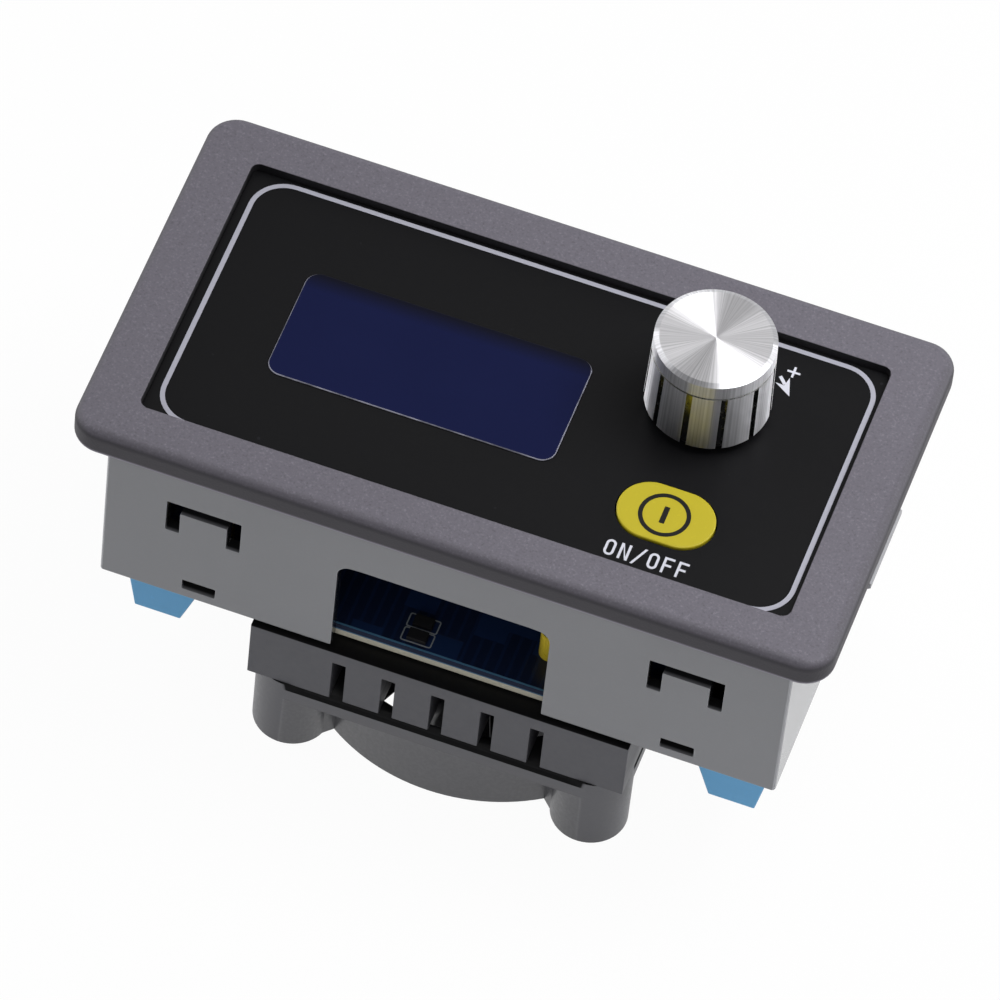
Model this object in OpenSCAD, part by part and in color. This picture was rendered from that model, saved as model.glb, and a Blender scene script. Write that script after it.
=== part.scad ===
// Panel-mount DC electronic load: snap-in case, display, push knob and key,
// two boards, screw terminals and a heatsink with its fan.
// The unit stands face up on its fan. Millimetres, +Z points out of the front face.

/* [Case] */
// Width of the bezel
bezel_w = 79; // [78:0.5:86]
// Height of the bezel
bezel_h = 43; // [42:0.5:48]
// Thickness of the bezel
bezel_t = 3; // [2.6:0.1:4]
// Radius of the bezel's corners
bezel_corner_r = 3.2; // [2.5:0.1:5]
// Rounding of the bezel's front edge
bezel_edge_r = 1; // [0.6:0.1:1.4]
// Rounding of the bezel's back edge
bezel_back_r = 0.4; // [0.2:0.1:0.8]
// Width of the body behind the bezel
body_w = 71.5; // [71:0.1:74]
// Height of the body behind the bezel
body_h = 38.7; // [38:0.1:40.5]
// Radius of the body's corners
body_corner_r = 0.4; // [0.3:0.1:1.4]
// Thickness of the body's walls
wall = 1.5; // [1.2:0.1:1.7]
// How far the rear board stands out behind the walls
rear_reveal = 0.2; // [0.1:0.1:0.6]
// Width of the air cut-out in the two long walls
cutout_w = 22.3; // [18:0.1:30]
// Corner radius of the air cut-out
cutout_r = 1.6; // [0.8:0.1:3]
// Distance of the board tongues from the middle
tongue_x = 25.3; // [24:0.1:28]
// Width of a board tongue
tongue_w = 4.95; // [4:0.05:6]
// Length of a board tongue
tongue_len = 3.2; // [2.5:0.1:5]
// Width of the slot round a board tongue
tongue_slot = 1.45; // [1:0.05:1.6]
// Reach of the barb on a board tongue
barb_reach = 0.7; // [0.4:0.1:1]
// Width of the small slots near the rear edge
small_slot_w = 3.5; // [2:0.1:5]
// Width of a side snap wing
wing_w = 10; // [8:0.5:14]
// Length of a side snap wing
wing_len = 11; // [8:0.5:13]
// Thickness of a side snap wing at its tip
wing_t = 1.4; // [1:0.1:1.6]
// How far a snap wing stands out from the body
wing_reach = 2.85; // [2:0.05:3.2]
// Thickest panel that the snap wings hold
panel_max = 2.5; // [1.5:0.1:4]

/* [Front panel] */
// Width of the recess in the bezel
recess_w = 67.6; // [65:0.1:70]
// Height of the recess in the bezel
recess_h = 32.8; // [31:0.1:36]
// Depth of the recess
recess_depth = 1; // [0.7:0.1:1.3]
// Corner radius of the recess
recess_r = 0.6; // [0.3:0.1:2]
// Thickness of the printed sheet in the recess
overlay_t = 0.3; // [0.2:0.05:0.5]
// Width of the display window
window_w = 30.3; // [24:0.1:33]
// Height of the display window
window_h = 13.6; // [10:0.1:16]
// Corner radius of the display window
window_r = 1.6; // [0.5:0.1:3]
// Place of the display across the panel
display_x = -9; // [-10:0.1:-8.5]
// Place of the display up the panel
display_y = -0.3; // [-1:0.1:1]
// How far the clear window stands out of the printed sheet
pane_rise = 0.15; // [0.1:0.05:0.3]
// Rounding of the clear window's front edge
pane_edge_r = 0.15; // [0.1:0.05:0.3]

/* [Display] */
// Width of the display glass
glass_w = 37; // [35:0.5:38]
// Height of the display glass
glass_h = 20; // [18:0.5:21]
// Thickness of the display glass
glass_t = 2.8; // [2:0.1:3.5]
// Depth of the contact ledge along the lower edge of the glass
glass_ledge = 2.2; // [1.5:0.1:2.6]
// Thickness of the light box behind the glass
backlight_t = 4; // [3.8:0.1:6]
// Number of contact pins along the glass
lcd_pin_count = 12; // [6:1:16]
// Pitch of the contact pins
lcd_pin_pitch = 2; // [1.5:0.1:2.1]
// Width of a contact pin
lcd_pin_w = 0.5; // [0.3:0.1:0.7]

/* [Knob and encoder] */
// Place of the knob across the panel
knob_x = 17.85; // [17.5:0.05:19]
// Place of the knob up the panel
knob_y = 6; // [5:0.1:6.2]
// Diameter of the knob
knob_d = 12.75; // [12.5:0.05:14]
// Height of the knob
knob_h = 10; // [9:0.5:14]
// Gap between the knob and the front sheet
knob_gap = 0.8; // [0.8:0.1:2]
// Width of the chamfer round the knob's top
knob_chamfer = 0.5; // [0.2:0.05:0.6]
// Height of the chamfers round the knob
knob_chamfer_h = 0.25; // [0.15:0.05:0.6]
// Distance of the ring groove below the knob's top
knob_ring_drop = 2.5; // [2:0.1:4]
// Width of the knob's grooves
knob_groove_w = 0.45; // [0.3:0.05:0.7]
// Depth of the knob's grooves
knob_groove_depth = 0.3; // [0.2:0.05:0.4]
// Number of upright grooves round the knob
knob_groove_count = 11; // [6:1:16]
// Wall of the metal knob cap
knob_wall = 1.25; // [1:0.05:1.6]
// Travel of the knob when it is pushed
knob_travel = 0.5; // [0.3:0.1:0.6]
// Width of the encoder across the panel
encoder_w = 12; // [11:0.1:12.4]
// Depth of the encoder up the panel
encoder_d = 11.7; // [11:0.1:12]
// Height of the encoder's plastic base
encoder_base_h = 3.5; // [3.5:0.1:3.8]
// Diameter of the encoder's bushing
bushing_d = 7; // [6.8:0.1:7.6]
// How far the bushing stands out of the front sheet
bushing_rise = 2.7; // [1.5:0.1:3.5]
// Diameter of the encoder's shaft
shaft_d = 6; // [5:0.1:6.2]
// Distance of the shaft's flat from its axis
shaft_flat = 1.5; // [1.2:0.1:2.2]
// Diameter of the turning contact disc
rotor_d = 9; // [8:0.1:9.2]

/* [Power key] */
// Place of the key across the panel
key_x = 18.6; // [18:0.1:19.5]
// Place of the key up the panel
key_y = -8.6; // [-9:0.1:-8]
// Width of the key
key_w = 10; // [8:0.1:11]
// Height of the key
key_h = 6.9; // [6:0.1:7.2]
// How far the key stands out of the front sheet
key_rise = 0.25; // [0.2:0.05:0.8]
// Rounding of the key's edge
key_edge_r = 0.15; // [0.1:0.05:0.4]
// Travel of the key
key_travel = 0.25; // [0.15:0.05:0.3]
// Side of the square push switch
switch_w = 6; // [5.5:0.1:6.5]
// Height of the push switch without its stem
switch_h = 3.6; // [3.4:0.1:4]
// Diameter of the switch's stem
stem_d = 3.4; // [3:0.1:3.6]

/* [Boards] */
// Thickness of a board
board_t = 1.6; // [1.2:0.1:2]
// Distance between the two boards
spacer_len = 11.9; // [11.5:0.1:16]
// Distance of the board spacers from the short edges of the boards
spacer_inset_x = 8.2; // [8:0.05:8.6]
// Distance of the board spacers from the long edges of the boards
spacer_inset_y = 3.45; // [3.3:0.05:3.7]
// Width of a spacer across its flats
spacer_af = 4; // [3.6:0.1:4.2]
// Diameter of a spacer screw
spacer_screw_d = 2; // [1.8:0.1:2.2]
// Pins in one row of the board connector
header_columns = 3; // [2:1:3]
// Pitch of the board connector
header_pitch = 2.54; // [2:0.02:2.54]

/* [Screw terminals] */
// Height of a terminal behind the rear board
terminal_h = 10; // [9.8:0.1:11]
// Width of a terminal at the board
terminal_w = 7.6; // [7.4:0.1:8]
// Distance between the two poles of a terminal
terminal_pitch = 5; // [5:0.1:5.2]
// Distance of a terminal's end face from the middle
terminal_end_y = 15.1; // [14.8:0.1:15.4]
// Slope of the inner flank at the rear face
terminal_inner_slope = 1.8; // [1:0.1:2]
// Slope of the outer flank at the rear face
terminal_outer_slope = 0.9; // [0.4:0.1:1]
// Diameter of a terminal screw
terminal_screw_d = 2.6; // [2.4:0.1:2.8]
// Travel of a clamp cage
clamp_travel = 1.8; // [1:0.1:1.8]

/* [Heatsink] */
// Place of the cooler across the unit
cooler_x = 0.6; // [0:0.1:0.8]
// How far the heatsink stands out past the sides of the fan
heatsink_overhang = 0; // [0:0.1:0.4]
// Depth of the heatsink
heatsink_d = 39.6; // [37:0.1:42]
// Height of the heatsink
heatsink_h = 7.8; // [7:0.1:9]
// Thickness of the heatsink's plate
heatsink_base = 1.8; // [1.4:0.1:3]
// Number of slots between the fins
fin_slots = 5; // [3:1:5]
// Width of a slot
fin_slot_w = 1.4; // [1:0.1:2]
// Pitch of the slots
fin_pitch = 5.25; // [4:0.05:5.5]
// Thickness of the thermal pad
pad_t = 0.3; // [0.2:0.1:1]
// Diameter of the heatsink screws
heatsink_screw_d = 3; // [2.5:0.1:3.2]

/* [Fan] */
// Side of the square fan
fan_size = 40; // [39.6:0.1:42]
// Thickness of the fan
fan_t = 10; // [10:0.1:12]
// Radius of the fan's corner lugs
lug_r = 4; // [3.8:0.1:4.4]
// Thickness of the fan's square flange
fan_flange_t = 2.5; // [2:0.1:3]
// Height of the step that leaves a gap under the heatsink between the fan's lugs
fan_step_h = 0.9; // [0.6:0.1:1.2]
// Depth of that step
fan_step_d = 0.6; // [0.4:0.1:0.7]
// Wall of the fan's duct
fan_wall = 1; // [0.8:0.1:1.4]
// Diameter of the fan's hub
hub_d = 23; // [22:0.1:24]
// Number of fan blades
blade_count = 7; // [5:1:9]
// Sweep of a blade from front to back, degrees
blade_sweep = 38; // [25:1:45]
// Thickness of a blade
blade_t = 0.9; // [0.6:0.1:1.2]
// Gap between the blade tips and the duct
blade_gap = 0.6; // [0.4:0.1:1]
// Angle at which the fan rests, degrees
fan_rest_angle = 3; // [0:1:51]
// Diameter of the fan's shaft
fan_shaft_d = 2; // [1.5:0.1:2.2]
// Diameter of the fan's screws
fan_screw_d = 2.9; // [2.5:0.1:3]

/* [Hidden] */
$fn = 48;
// Cutting tools run past the faces that they open
over = 1;
// Gap of a running fit, on the radius
run_gap = 0.05;
// Gap of a piece that is pushed into its seat, on the radius
seat_gap = 0.02;
// Gap round a screw or lead in its hole, on the radius
hole_gap = 0.1;
// Gap round a board inside the walls
board_gap = 0.2;

// Heights, from the rear of the fan to the front of the bezel
heatsink_z = fan_t;
pad_z = heatsink_z + heatsink_h;
rear_board_z = pad_z + pad_t;
rear_face_z = rear_board_z + board_t;
front_board_z = rear_face_z + spacer_len;
front_face_z = front_board_z + board_t;
bezel_z = front_face_z + backlight_t + glass_t;
bezel_front_z = bezel_z + bezel_t;
overlay_z = bezel_front_z - recess_depth - overlay_t;
sheet_z = overlay_z + overlay_t;
body_rear_z = rear_board_z + rear_reveal;

// Case
inner_w = body_w - 2 * wall;
inner_h = body_h - 2 * wall;
inner_corner_r = 0.3;
board_w = inner_w - 2 * board_gap;
board_h = inner_h - 2 * board_gap;
board_corner_r = 1;
cutout_rise = 0.2;
cutout_top_z = front_board_z + cutout_rise;
rib_depth = 1.5;
small_slot_rise = 1.4;
wing_tip_z = bezel_z - panel_max;
wing_root_z = wing_tip_z - wing_len;
wing_gap = 0.7;
wing_nose = 1.2;
overlay_gap = 0.1;
pane_gap = 0.05;
pane_back_r = 0.05;

// Encoder and knob
bushing_hole_gap = 0.2;
bushing_top_z = sheet_z + bushing_rise;
encoder_gap = 0.3;
encoder_top_z = bezel_z - encoder_gap;
encoder_floor = 0.8;
encoder_wall = 1;
encoder_tab_t = 0.4;
encoder_tab_w = 2.2;
plunger_d = 5;
plunger_t = 0.7;
plunger_gap = 0.4;
plunger_z = front_face_z + encoder_floor + knob_travel + plunger_gap;
plunger_top_z = plunger_z + plunger_t;
rotor_z = plunger_top_z + plunger_gap;
rotor_h = 1.6;
rotor_top_z = rotor_z + rotor_h;
shoulder_gap = 0.2;
shoulder_z = rotor_top_z + knob_travel + shoulder_gap;
cavity_d = encoder_d - 2 * encoder_wall;
cavity_top_z = rotor_top_z + plunger_gap;
drive_shoulder = 0.8;
drive_d = shaft_d - 2 * drive_shoulder;
knob_z = sheet_z + knob_gap;
knob_top_z = knob_z + knob_h;
knob_groove_phase = -29;
core_d = knob_d - 2 * knob_wall;
core_top_z = knob_top_z - knob_wall;
core_inset = 0.3;
shaft_cover = 0.6;
shaft_top_z = core_top_z - shaft_cover;
flat_start_z = bushing_top_z + knob_travel + shoulder_gap;
socket_gap = 0.4;

// Key and switch
key_gap = 0.15;
flange_reach = 1;
flange_t = 0.9;
flange_gap = 0.1;
key_base_z = bezel_z - flange_gap - flange_t;
key_top_z = sheet_z + key_rise;
switch_cover_t = 0.3;
switch_floor = 1;
stem_base_gap = 0.2;

// Boards and what they carry
spacer_x = board_w / 2 - spacer_inset_x;
spacer_y = board_h / 2 - spacer_inset_y;
spacer_shank_wall = 0.6;
spacer_shank_d = spacer_screw_d + 2 * spacer_shank_wall;
screw_head_h = 1.4;
screw_head_reach = 0.9;
screw_head_d = spacer_screw_d + 2 * screw_head_reach;
spacer_screw_len = 3;
chip_h = 1.5;
header_inset_y = 4.15;
header_x = -14.6;
header_y = board_h / 2 - header_inset_y;
header_rows = 2;
header_strip_h = 2.5;
header_seat_gap = 0.1;
header_pin_w = 0.64;
header_pin_tail = 1.2;
header_pin_len = 6;
header_margin = 0.02;
header_socket_h = spacer_len - header_strip_h - header_seat_gap;
lcd_pin_tail = 1;
lcd_pin_y = display_y - glass_h / 2 - lcd_pin_w / 2;
backlight_inset = 0.5;

// Screw terminals
terminal_out_x = board_w / 2;
terminal_in_x = terminal_out_x - terminal_w;
terminal_len = 2 * terminal_pitch;
terminal_taper = 4.7;
terminal_axis_x = (terminal_out_x - terminal_outer_slope + terminal_in_x + terminal_inner_slope) / 2;
terminal_rear_z = rear_board_z - terminal_h;
cage_gap = 0.1;
cage_wall = 0.5;
cage_depth = 3.4;
cage_bar = 0.8;
cage_base_h = 0.5;
tongue_t = 0.7;
tongue_h = 4.9;
tongue_side_gap = 0.1;
cage_top_gap = 0.4;
cage_w = terminal_pitch - 1;
cage_top_h = tongue_h + tongue_t + cage_top_gap;
cage_h = cage_top_h + cage_bar - cage_base_h;
chamber_w = cage_w + 2 * cage_gap;
chamber_depth = cage_depth + 2 * cage_gap;
chamber_h = cage_top_h + cage_bar + clamp_travel + cage_gap;
terminal_head_h = 0.9;
terminal_head_reach = 0.55;
terminal_head_d = terminal_screw_d + 2 * terminal_head_reach;
terminal_head_top_h = chamber_h + cage_gap + terminal_head_h;
terminal_slot_w = 0.6;
terminal_slot_depth = 0.5;
entry_w = 3.4;
entry_h = 3.4;
entry_base_h = cage_base_h + cage_bar + cage_gap;
entry_step = 0.4;
entry_step_depth = 0.6;
terminal_groove_drop = 5.6;
terminal_groove_h = 0.4;
terminal_groove_depth = 0.2;
leg_t = 0.7;
leg_gap = 0.1;
contact_w = cage_w - 2 * cage_wall - 2 * tongue_side_gap;
contact_in_x = terminal_axis_x - chamber_depth / 2 - leg_t - leg_gap;
contact_pin_w = 0.7;
contact_pin_stub = 1.4;
contact_pin_len = board_t + contact_pin_stub;

// Supply sockets
jack_w = 9;
jack_len = 14;
jack_h = 11;
jack_plate = 3.4;
jack_bore_d = 6.4;
jack_bore_len = 9.5;
jack_pin_d = 2;
jack_pin_gap = 1;
jack_axis_h = 6.5;
jack_inset = 0.1;
jack_proud = 0.4;
jack_x = board_w / 2 - jack_w / 2 - jack_inset;
jack_mouth_y = board_h / 2 + jack_proud;
jack_leg_d = 1.2;
usb_w = 7.6;
usb_h = 2.7;
usb_len = 5.6;
usb_wall = 0.3;
usb_inset = 0.85;
usb_proud = 0.3;
usb_x = usb_inset + usb_w / 2 - board_w / 2;
usb_mouth_y = board_h / 2 + usb_proud;
usb_tongue_w = 4.2;
usb_tongue_t = 0.6;
usb_back = 1.2;

// Heatsink and fan
heatsink_w = fan_size + 2 * heatsink_overhang;
pad_margin = 3;
heatsink_screw_inset = 4;
heatsink_screw_x = heatsink_w / 2 - heatsink_screw_inset;
heatsink_screw_depth = 4;
heatsink_head_h = 2;
heatsink_head_reach = 1.25;
heatsink_head_d = heatsink_screw_d + 2 * heatsink_head_reach;
duct_r = fan_size / 2 - fan_wall;
duct_margin = 0.1;
fan_step_w = fan_size - 2 * fan_step_d;
fan_pitch = fan_size - 2 * lug_r;
lug_flat_share = 0.9;
lug_flat = lug_flat_share * lug_r;
fan_plate_t = 1.4;
fan_plate_z = fan_t - fan_plate_t;
fan_plate_d = hub_d + 1;
strut_count = 4;
strut_w = 2.2;
strut_angle = 20;
hub_z = 0.8;
hub_t = 1;
hub_wall = 1;
hub_top_z = 7.4;
blade_z = 1;
blade_h = 6.2;
blade_root = 0.4;
blade_slices = 8;
blade_segments = 8;
magnet_t = 1;
magnet_z = 2.2;
magnet_h = 5;
tube_d = 6.4;
tube_z = 3.4;
bearing_d = 5;
bearing_h = 5;
boss_d = 4;
boss_h = 1.2;
stator_gap = 0.5;
stator_d = hub_d - 2 * hub_wall - 2 * magnet_t - 2 * stator_gap;
stator_z = 4.4;
stator_h = 2;
stator_ring = 1;
stator_arm_w = 1.8;
stator_shoe_t = 1;
stator_shoe_w = 7;
coil_t = 1;
fan_board_t = 0.8;
fan_board_d = 20;
fan_board_z = fan_plate_z - fan_board_t;
lug_wall = 1;
counterbore_d = 2 * lug_r - 2 * lug_wall;
counterbore_depth = 2.6;
fan_head_h = 2;
fan_head_z = counterbore_depth - fan_head_h;
fan_screw_depth = 5;
fan_screw_reach = 4.4;

// Flat outlines

module rounded_rect(w, h, r) {
    square([w - 2 * r, h], center = true);
    square([w, h - 2 * r], center = true);
    for (x = [-1, 1], y = [-1, 1])
        translate([x * (w / 2 - r), y * (h / 2 - r)])
            circle(r);
}

module pill(w, h) {
    square([w - h, h], center = true);
    for (x = [-1, 1])
        translate([x * (w - h) / 2, 0])
            circle(d = h);
}

// Circle with one side cut flat
module d_outline(d, flat) {
    intersection() {
        circle(d = d);
        translate([-d, -d])
            square([2 * d, d + flat]);
    }
}

// Half of a plate's cross-section, with a rounded front and back edge
module plate_edge(reach, t, front_r, back_r) {
    square([reach - max(front_r, back_r), t]);
    translate([0, back_r])
        square([reach, t - front_r - back_r]);
    translate([reach - front_r, t - front_r])
        circle(front_r);
    translate([reach - back_r, back_r])
        circle(back_r);
    translate([0, back_r])
        square([reach - front_r, t - back_r]);
    square([reach - back_r, t - front_r]);
}

// Solids that repeat

// Extrudes an outline that is drawn with X across and Z up
module along_y(len) {
    rotate([90, 0, 0])
        linear_extrude(len, center = true)
            children();
}

// Extrudes an outline that is drawn with Y across and Z up
module along_x(len) {
    rotate([90, 0, 90])
        linear_extrude(len, center = true)
            children();
}

module tall(z0, z1) {
    translate([0, 0, z0])
        linear_extrude(z1 - z0)
            children();
}

// Plate with round corners and rounded front and back edges
module soft_plate(w, h, t, r, front_r, back_r) {
    for (x = [-1, 1], y = [-1, 1])
        translate([x * (w / 2 - r), y * (h / 2 - r), 0])
            rotate_extrude()
                intersection() {
                    plate_edge(r, t, front_r, back_r);
                    square([r, t]);
                }
    for (side = [0, 180])
        rotate(side) {
            if (h > 2 * r)
                translate([w / 2 - r, 0, 0])
                    along_y(h - 2 * r)
                        plate_edge(r, t, front_r, back_r);
            translate([0, h / 2 - r, 0])
                along_x(w - 2 * r)
                    plate_edge(r, t, front_r, back_r);
        }
    if (h > 2 * r)
        translate([r - w / 2, r - h / 2, 0])
            cube([w - 2 * r, h - 2 * r, t]);
}

module box(w, d, z0, z1) {
    translate([-w / 2, -d / 2, z0])
        cube([w, d, z1 - z0]);
}

module rod(d, z0, z1) {
    translate([0, 0, z0])
        cylinder(d = d, h = z1 - z0);
}

module four_corners(x, y) {
    for (i = [-1, 1], j = [-1, 1])
        translate([i * x, j * y, 0])
            children();
}

module at_knob() {
    translate([knob_x, knob_y, 0])
        children();
}

module at_key() {
    translate([key_x, key_y, 0])
        children();
}

module at_display() {
    translate([display_x, display_y, 0])
        children();
}

module at_cooler() {
    translate([cooler_x, 0, 0])
        children();
}

// Case and front

module body_tube() {
    tall(body_rear_z, bezel_z)
        difference() {
            rounded_rect(body_w, body_h, body_corner_r);
            rounded_rect(inner_w, inner_h, inner_corner_r);
        }
}

// Ribs that the front board is pressed against
module board_ribs() {
    for (x = [-1, 1], y = [-1, 1])
        translate([x * tongue_x, y * (inner_h - rib_depth + wall) / 2, 0])
            box(tongue_w, rib_depth + wall, front_face_z, bezel_z + over);
}

module panel_openings() {
    tall(overlay_z, bezel_front_z + over)
        rounded_rect(recess_w, recess_h, recess_r);
    tall(bezel_z - over, bezel_front_z) {
        at_display()
            rounded_rect(window_w, window_h, window_r);
        at_knob()
            circle(d = bushing_d + 2 * bushing_hole_gap);
        at_key()
            pill(key_w + 2 * key_gap, key_h + 2 * key_gap);
    }
}

// Air cut-out, tongue slots and small slots, through both long walls
module wall_slots() {
    along_y(body_h + 2 * over) {
        translate([0, (cutout_top_z + body_rear_z - 2 * cutout_r) / 2])
            rounded_rect(cutout_w, cutout_top_z - body_rear_z + 2 * cutout_r, cutout_r);
        for (x = [-1, 1])
            translate([x * tongue_x, 0]) {
                difference() {
                    translate([-tongue_w / 2 - tongue_slot, front_board_z - tongue_len])
                        square([tongue_w + 2 * tongue_slot, tongue_len + tongue_slot]);
                    translate([-tongue_w / 2, front_board_z - tongue_len - over])
                        square([tongue_w, tongue_len + over]);
                }
                translate([-small_slot_w / 2, rear_board_z + small_slot_rise])
                    square([small_slot_w, tongue_slot]);
            }
    }
}

module wing_windows() {
    along_x(body_w + 2 * over)
        translate([-wing_w / 2 - wing_gap, wing_root_z])
            square([wing_w + 2 * wing_gap, wing_len + wing_gap]);
}

module wings() {
    for (side = [0, 180])
        rotate(side)
            along_y(wing_w)
                polygon([
                    [body_w / 2 - wall, wing_root_z],
                    [body_w / 2, wing_root_z],
                    [body_w / 2 + wing_reach, wing_tip_z - wing_nose],
                    [body_w / 2 + wing_reach, wing_tip_z],
                    [body_w / 2 + wing_reach - wing_t, wing_tip_z],
                ]);
}

module tongue_barbs() {
    for (x = [-1, 1], side = [0, 180])
        rotate(side)
            translate([x * tongue_x, 0, 0])
                along_x(tongue_w)
                    polygon([
                        [-inner_h / 2, front_board_z],
                        [-inner_h / 2 + barb_reach, front_board_z],
                        [-inner_h / 2, front_board_z - tongue_len],
                    ]);
}

module case_shell() {
    color("#6a686e") {
        difference() {
            union() {
                translate([0, 0, bezel_z])
                    soft_plate(bezel_w, bezel_h, bezel_t, bezel_corner_r, bezel_edge_r, bezel_back_r);
                body_tube();
                intersection() {
                    board_ribs();
                    box(body_w, body_h, front_face_z, bezel_z + bezel_back_r);
                }
            }
            panel_openings();
            wall_slots();
            wing_windows();
        }
        wings();
        tongue_barbs();
    }
}

module front_overlay() {
    color("#1c1c20")
        tall(overlay_z, sheet_z)
            difference() {
                rounded_rect(recess_w - 2 * overlay_gap, recess_h - 2 * overlay_gap, recess_r);
                at_display()
                    rounded_rect(window_w, window_h, window_r);
                at_knob()
                    circle(d = bushing_d + 2 * bushing_hole_gap);
                at_key()
                    pill(key_w + 2 * key_gap, key_h + 2 * key_gap);
            }
}

// Clear window that fills the opening down to the display glass
module display_window() {
    color("lightsteelblue", 0.3)
        at_display()
            translate([0, 0, bezel_z])
                soft_plate(
                    window_w - 2 * pane_gap, window_h - 2 * pane_gap, sheet_z + pane_rise - bezel_z,
                    window_r - pane_gap, pane_edge_r, pane_back_r
                );
}

// Display

module lcd_glass() {
    color("#181c4e")
        at_display() {
            box(glass_w, glass_h, bezel_z - glass_t, bezel_z - glass_t / 2);
            translate([0, glass_ledge / 2, 0])
                box(glass_w, glass_h - glass_ledge, bezel_z - glass_t / 2, bezel_z);
        }
}

module lcd_backlight() {
    color("whitesmoke")
        at_display()
            box(
                glass_w - 2 * backlight_inset, glass_h - 2 * backlight_inset,
                front_face_z, bezel_z - glass_t
            );
}

module lcd_pin_places() {
    for (i = [0 : lcd_pin_count - 1])
        translate([display_x + (i - (lcd_pin_count - 1) / 2) * lcd_pin_pitch, lcd_pin_y, 0])
            children();
}

module lcd_pins() {
    color("silver")
        lcd_pin_places()
            box(lcd_pin_w, lcd_pin_w, front_board_z - lcd_pin_tail, bezel_z - glass_t / 2);
}

// Knob and encoder

module knob_cap() {
    ring_z = knob_h - knob_ring_drop;
    r = knob_d / 2;
    color("silver")
        translate([knob_x, knob_y, knob_z])
            difference() {
                rotate_extrude($fn = 96)
                    polygon([
                        [core_d / 2, 0],
                        [r - knob_chamfer_h, 0],
                        [r, knob_chamfer_h],
                        [r, ring_z - knob_groove_w / 2],
                        [r - knob_groove_depth, ring_z],
                        [r, ring_z + knob_groove_w / 2],
                        [r, knob_h - knob_chamfer_h],
                        [r - knob_chamfer, knob_h],
                        [0, knob_h],
                        [0, knob_h - knob_wall],
                        [core_d / 2, knob_h - knob_wall],
                    ]);
                for (i = [0 : knob_groove_count - 1])
                    rotate(knob_groove_phase + i * 360 / knob_groove_count)
                        translate([r - knob_groove_depth, -knob_groove_w / 2, -over])
                            cube([2 * knob_groove_depth, knob_groove_w, ring_z + over]);
            }
}

module knob_core() {
    color("#303034")
        at_knob()
            difference() {
                rod(core_d - 2 * seat_gap, knob_z + core_inset, core_top_z);
                rod(bushing_d + 2 * socket_gap, knob_z, bushing_top_z + knob_travel + socket_gap);
                tall(knob_z, shaft_top_z + seat_gap)
                    d_outline(shaft_d + 2 * run_gap, shaft_flat + run_gap);
            }
}

module encoder_shaft() {
    color("gainsboro")
        at_knob() {
            tall(plunger_top_z, shoulder_z)
                d_outline(drive_d, shaft_flat);
            rod(shaft_d, shoulder_z, flat_start_z);
            tall(flat_start_z, shaft_top_z)
                d_outline(shaft_d, shaft_flat);
        }
}

// Metal cover with the bushing and two tabs that reach down to the board
module encoder_cover() {
    base_top_z = front_face_z + encoder_base_h;
    color("silver")
        at_knob()
            difference() {
                union() {
                    box(encoder_w + 2 * encoder_tab_t, encoder_d, base_top_z, encoder_top_z);
                    rod(bushing_d, encoder_top_z, bushing_top_z);
                    for (side = [-1, 1])
                        translate([side * (encoder_w + encoder_tab_t) / 2, 0, 0])
                            box(encoder_tab_t, encoder_tab_w, front_face_z, base_top_z);
                }
                rod(cavity_d, base_top_z - over, cavity_top_z);
                rod(shaft_d + 2 * run_gap, base_top_z, bushing_top_z + over);
            }
}

module encoder_base() {
    color("#3a3a3c")
        at_knob()
            difference() {
                box(encoder_w, encoder_d, front_face_z, front_face_z + encoder_base_h);
                rod(cavity_d, front_face_z + encoder_floor, front_face_z + encoder_base_h + over);
            }
}

module encoder_rotor() {
    color("goldenrod")
        at_knob()
            tall(rotor_z, rotor_top_z)
                difference() {
                    circle(d = rotor_d);
                    d_outline(drive_d + 2 * run_gap, shaft_flat + run_gap);
                }
}

module encoder_plunger() {
    color("ivory")
        at_knob()
            rod(plunger_d, plunger_z, plunger_top_z);
}

// Power key and its switch

module power_key() {
    color("#c4b62d")
        at_key() {
            translate([0, 0, key_base_z])
                soft_plate(key_w, key_h, key_top_z - key_base_z, key_h / 2, key_edge_r, key_edge_r);
            tall(key_base_z, key_base_z + flange_t)
                pill(key_w + 2 * flange_reach, key_h + 2 * flange_reach);
        }
}

module switch_body() {
    color("#2a2a2c")
        at_key()
            difference() {
                box(switch_w, switch_w, front_face_z, front_face_z + switch_h - switch_cover_t);
                rod(stem_d + 2 * hole_gap, front_face_z + switch_floor, front_face_z + switch_h);
            }
}

module switch_cover() {
    color("silver")
        at_key()
            difference() {
                box(switch_w, switch_w, front_face_z + switch_h - switch_cover_t, front_face_z + switch_h);
                rod(stem_d + 2 * run_gap, front_face_z, front_face_z + switch_h + over);
            }
}

module switch_stem() {
    color("#1f1f20")
        at_key()
            rod(stem_d, front_face_z + switch_floor + key_travel + stem_base_gap, key_base_z);
}

// Boards

module board_outline() {
    rounded_rect(board_w, board_h, board_corner_r);
}

module header_places() {
    for (i = [0 : header_columns - 1], j = [0 : header_rows - 1])
        translate([
            header_x + (i - (header_columns - 1) / 2) * header_pitch,
            header_y + (j - (header_rows - 1) / 2) * header_pitch,
            0,
        ])
            children();
}

module header_block(z0, z1) {
    translate([header_x, header_y, 0])
        box(header_columns * header_pitch, header_rows * header_pitch, z0, z1);
}

module front_board() {
    color("#16305a")
        difference() {
            tall(front_board_z, front_face_z)
                board_outline();
            four_corners(spacer_x, spacer_y)
                rod(spacer_screw_d + 2 * hole_gap, front_board_z - over, front_face_z + over);
            lcd_pin_places()
                box(
                    lcd_pin_w + 2 * hole_gap, lcd_pin_w + 2 * hole_gap,
                    front_board_z - over, front_face_z + over
                );
            header_places()
                box(
                    header_pin_w + 2 * hole_gap, header_pin_w + 2 * hole_gap,
                    front_board_z - over, front_face_z + over
                );
        }
}

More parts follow.
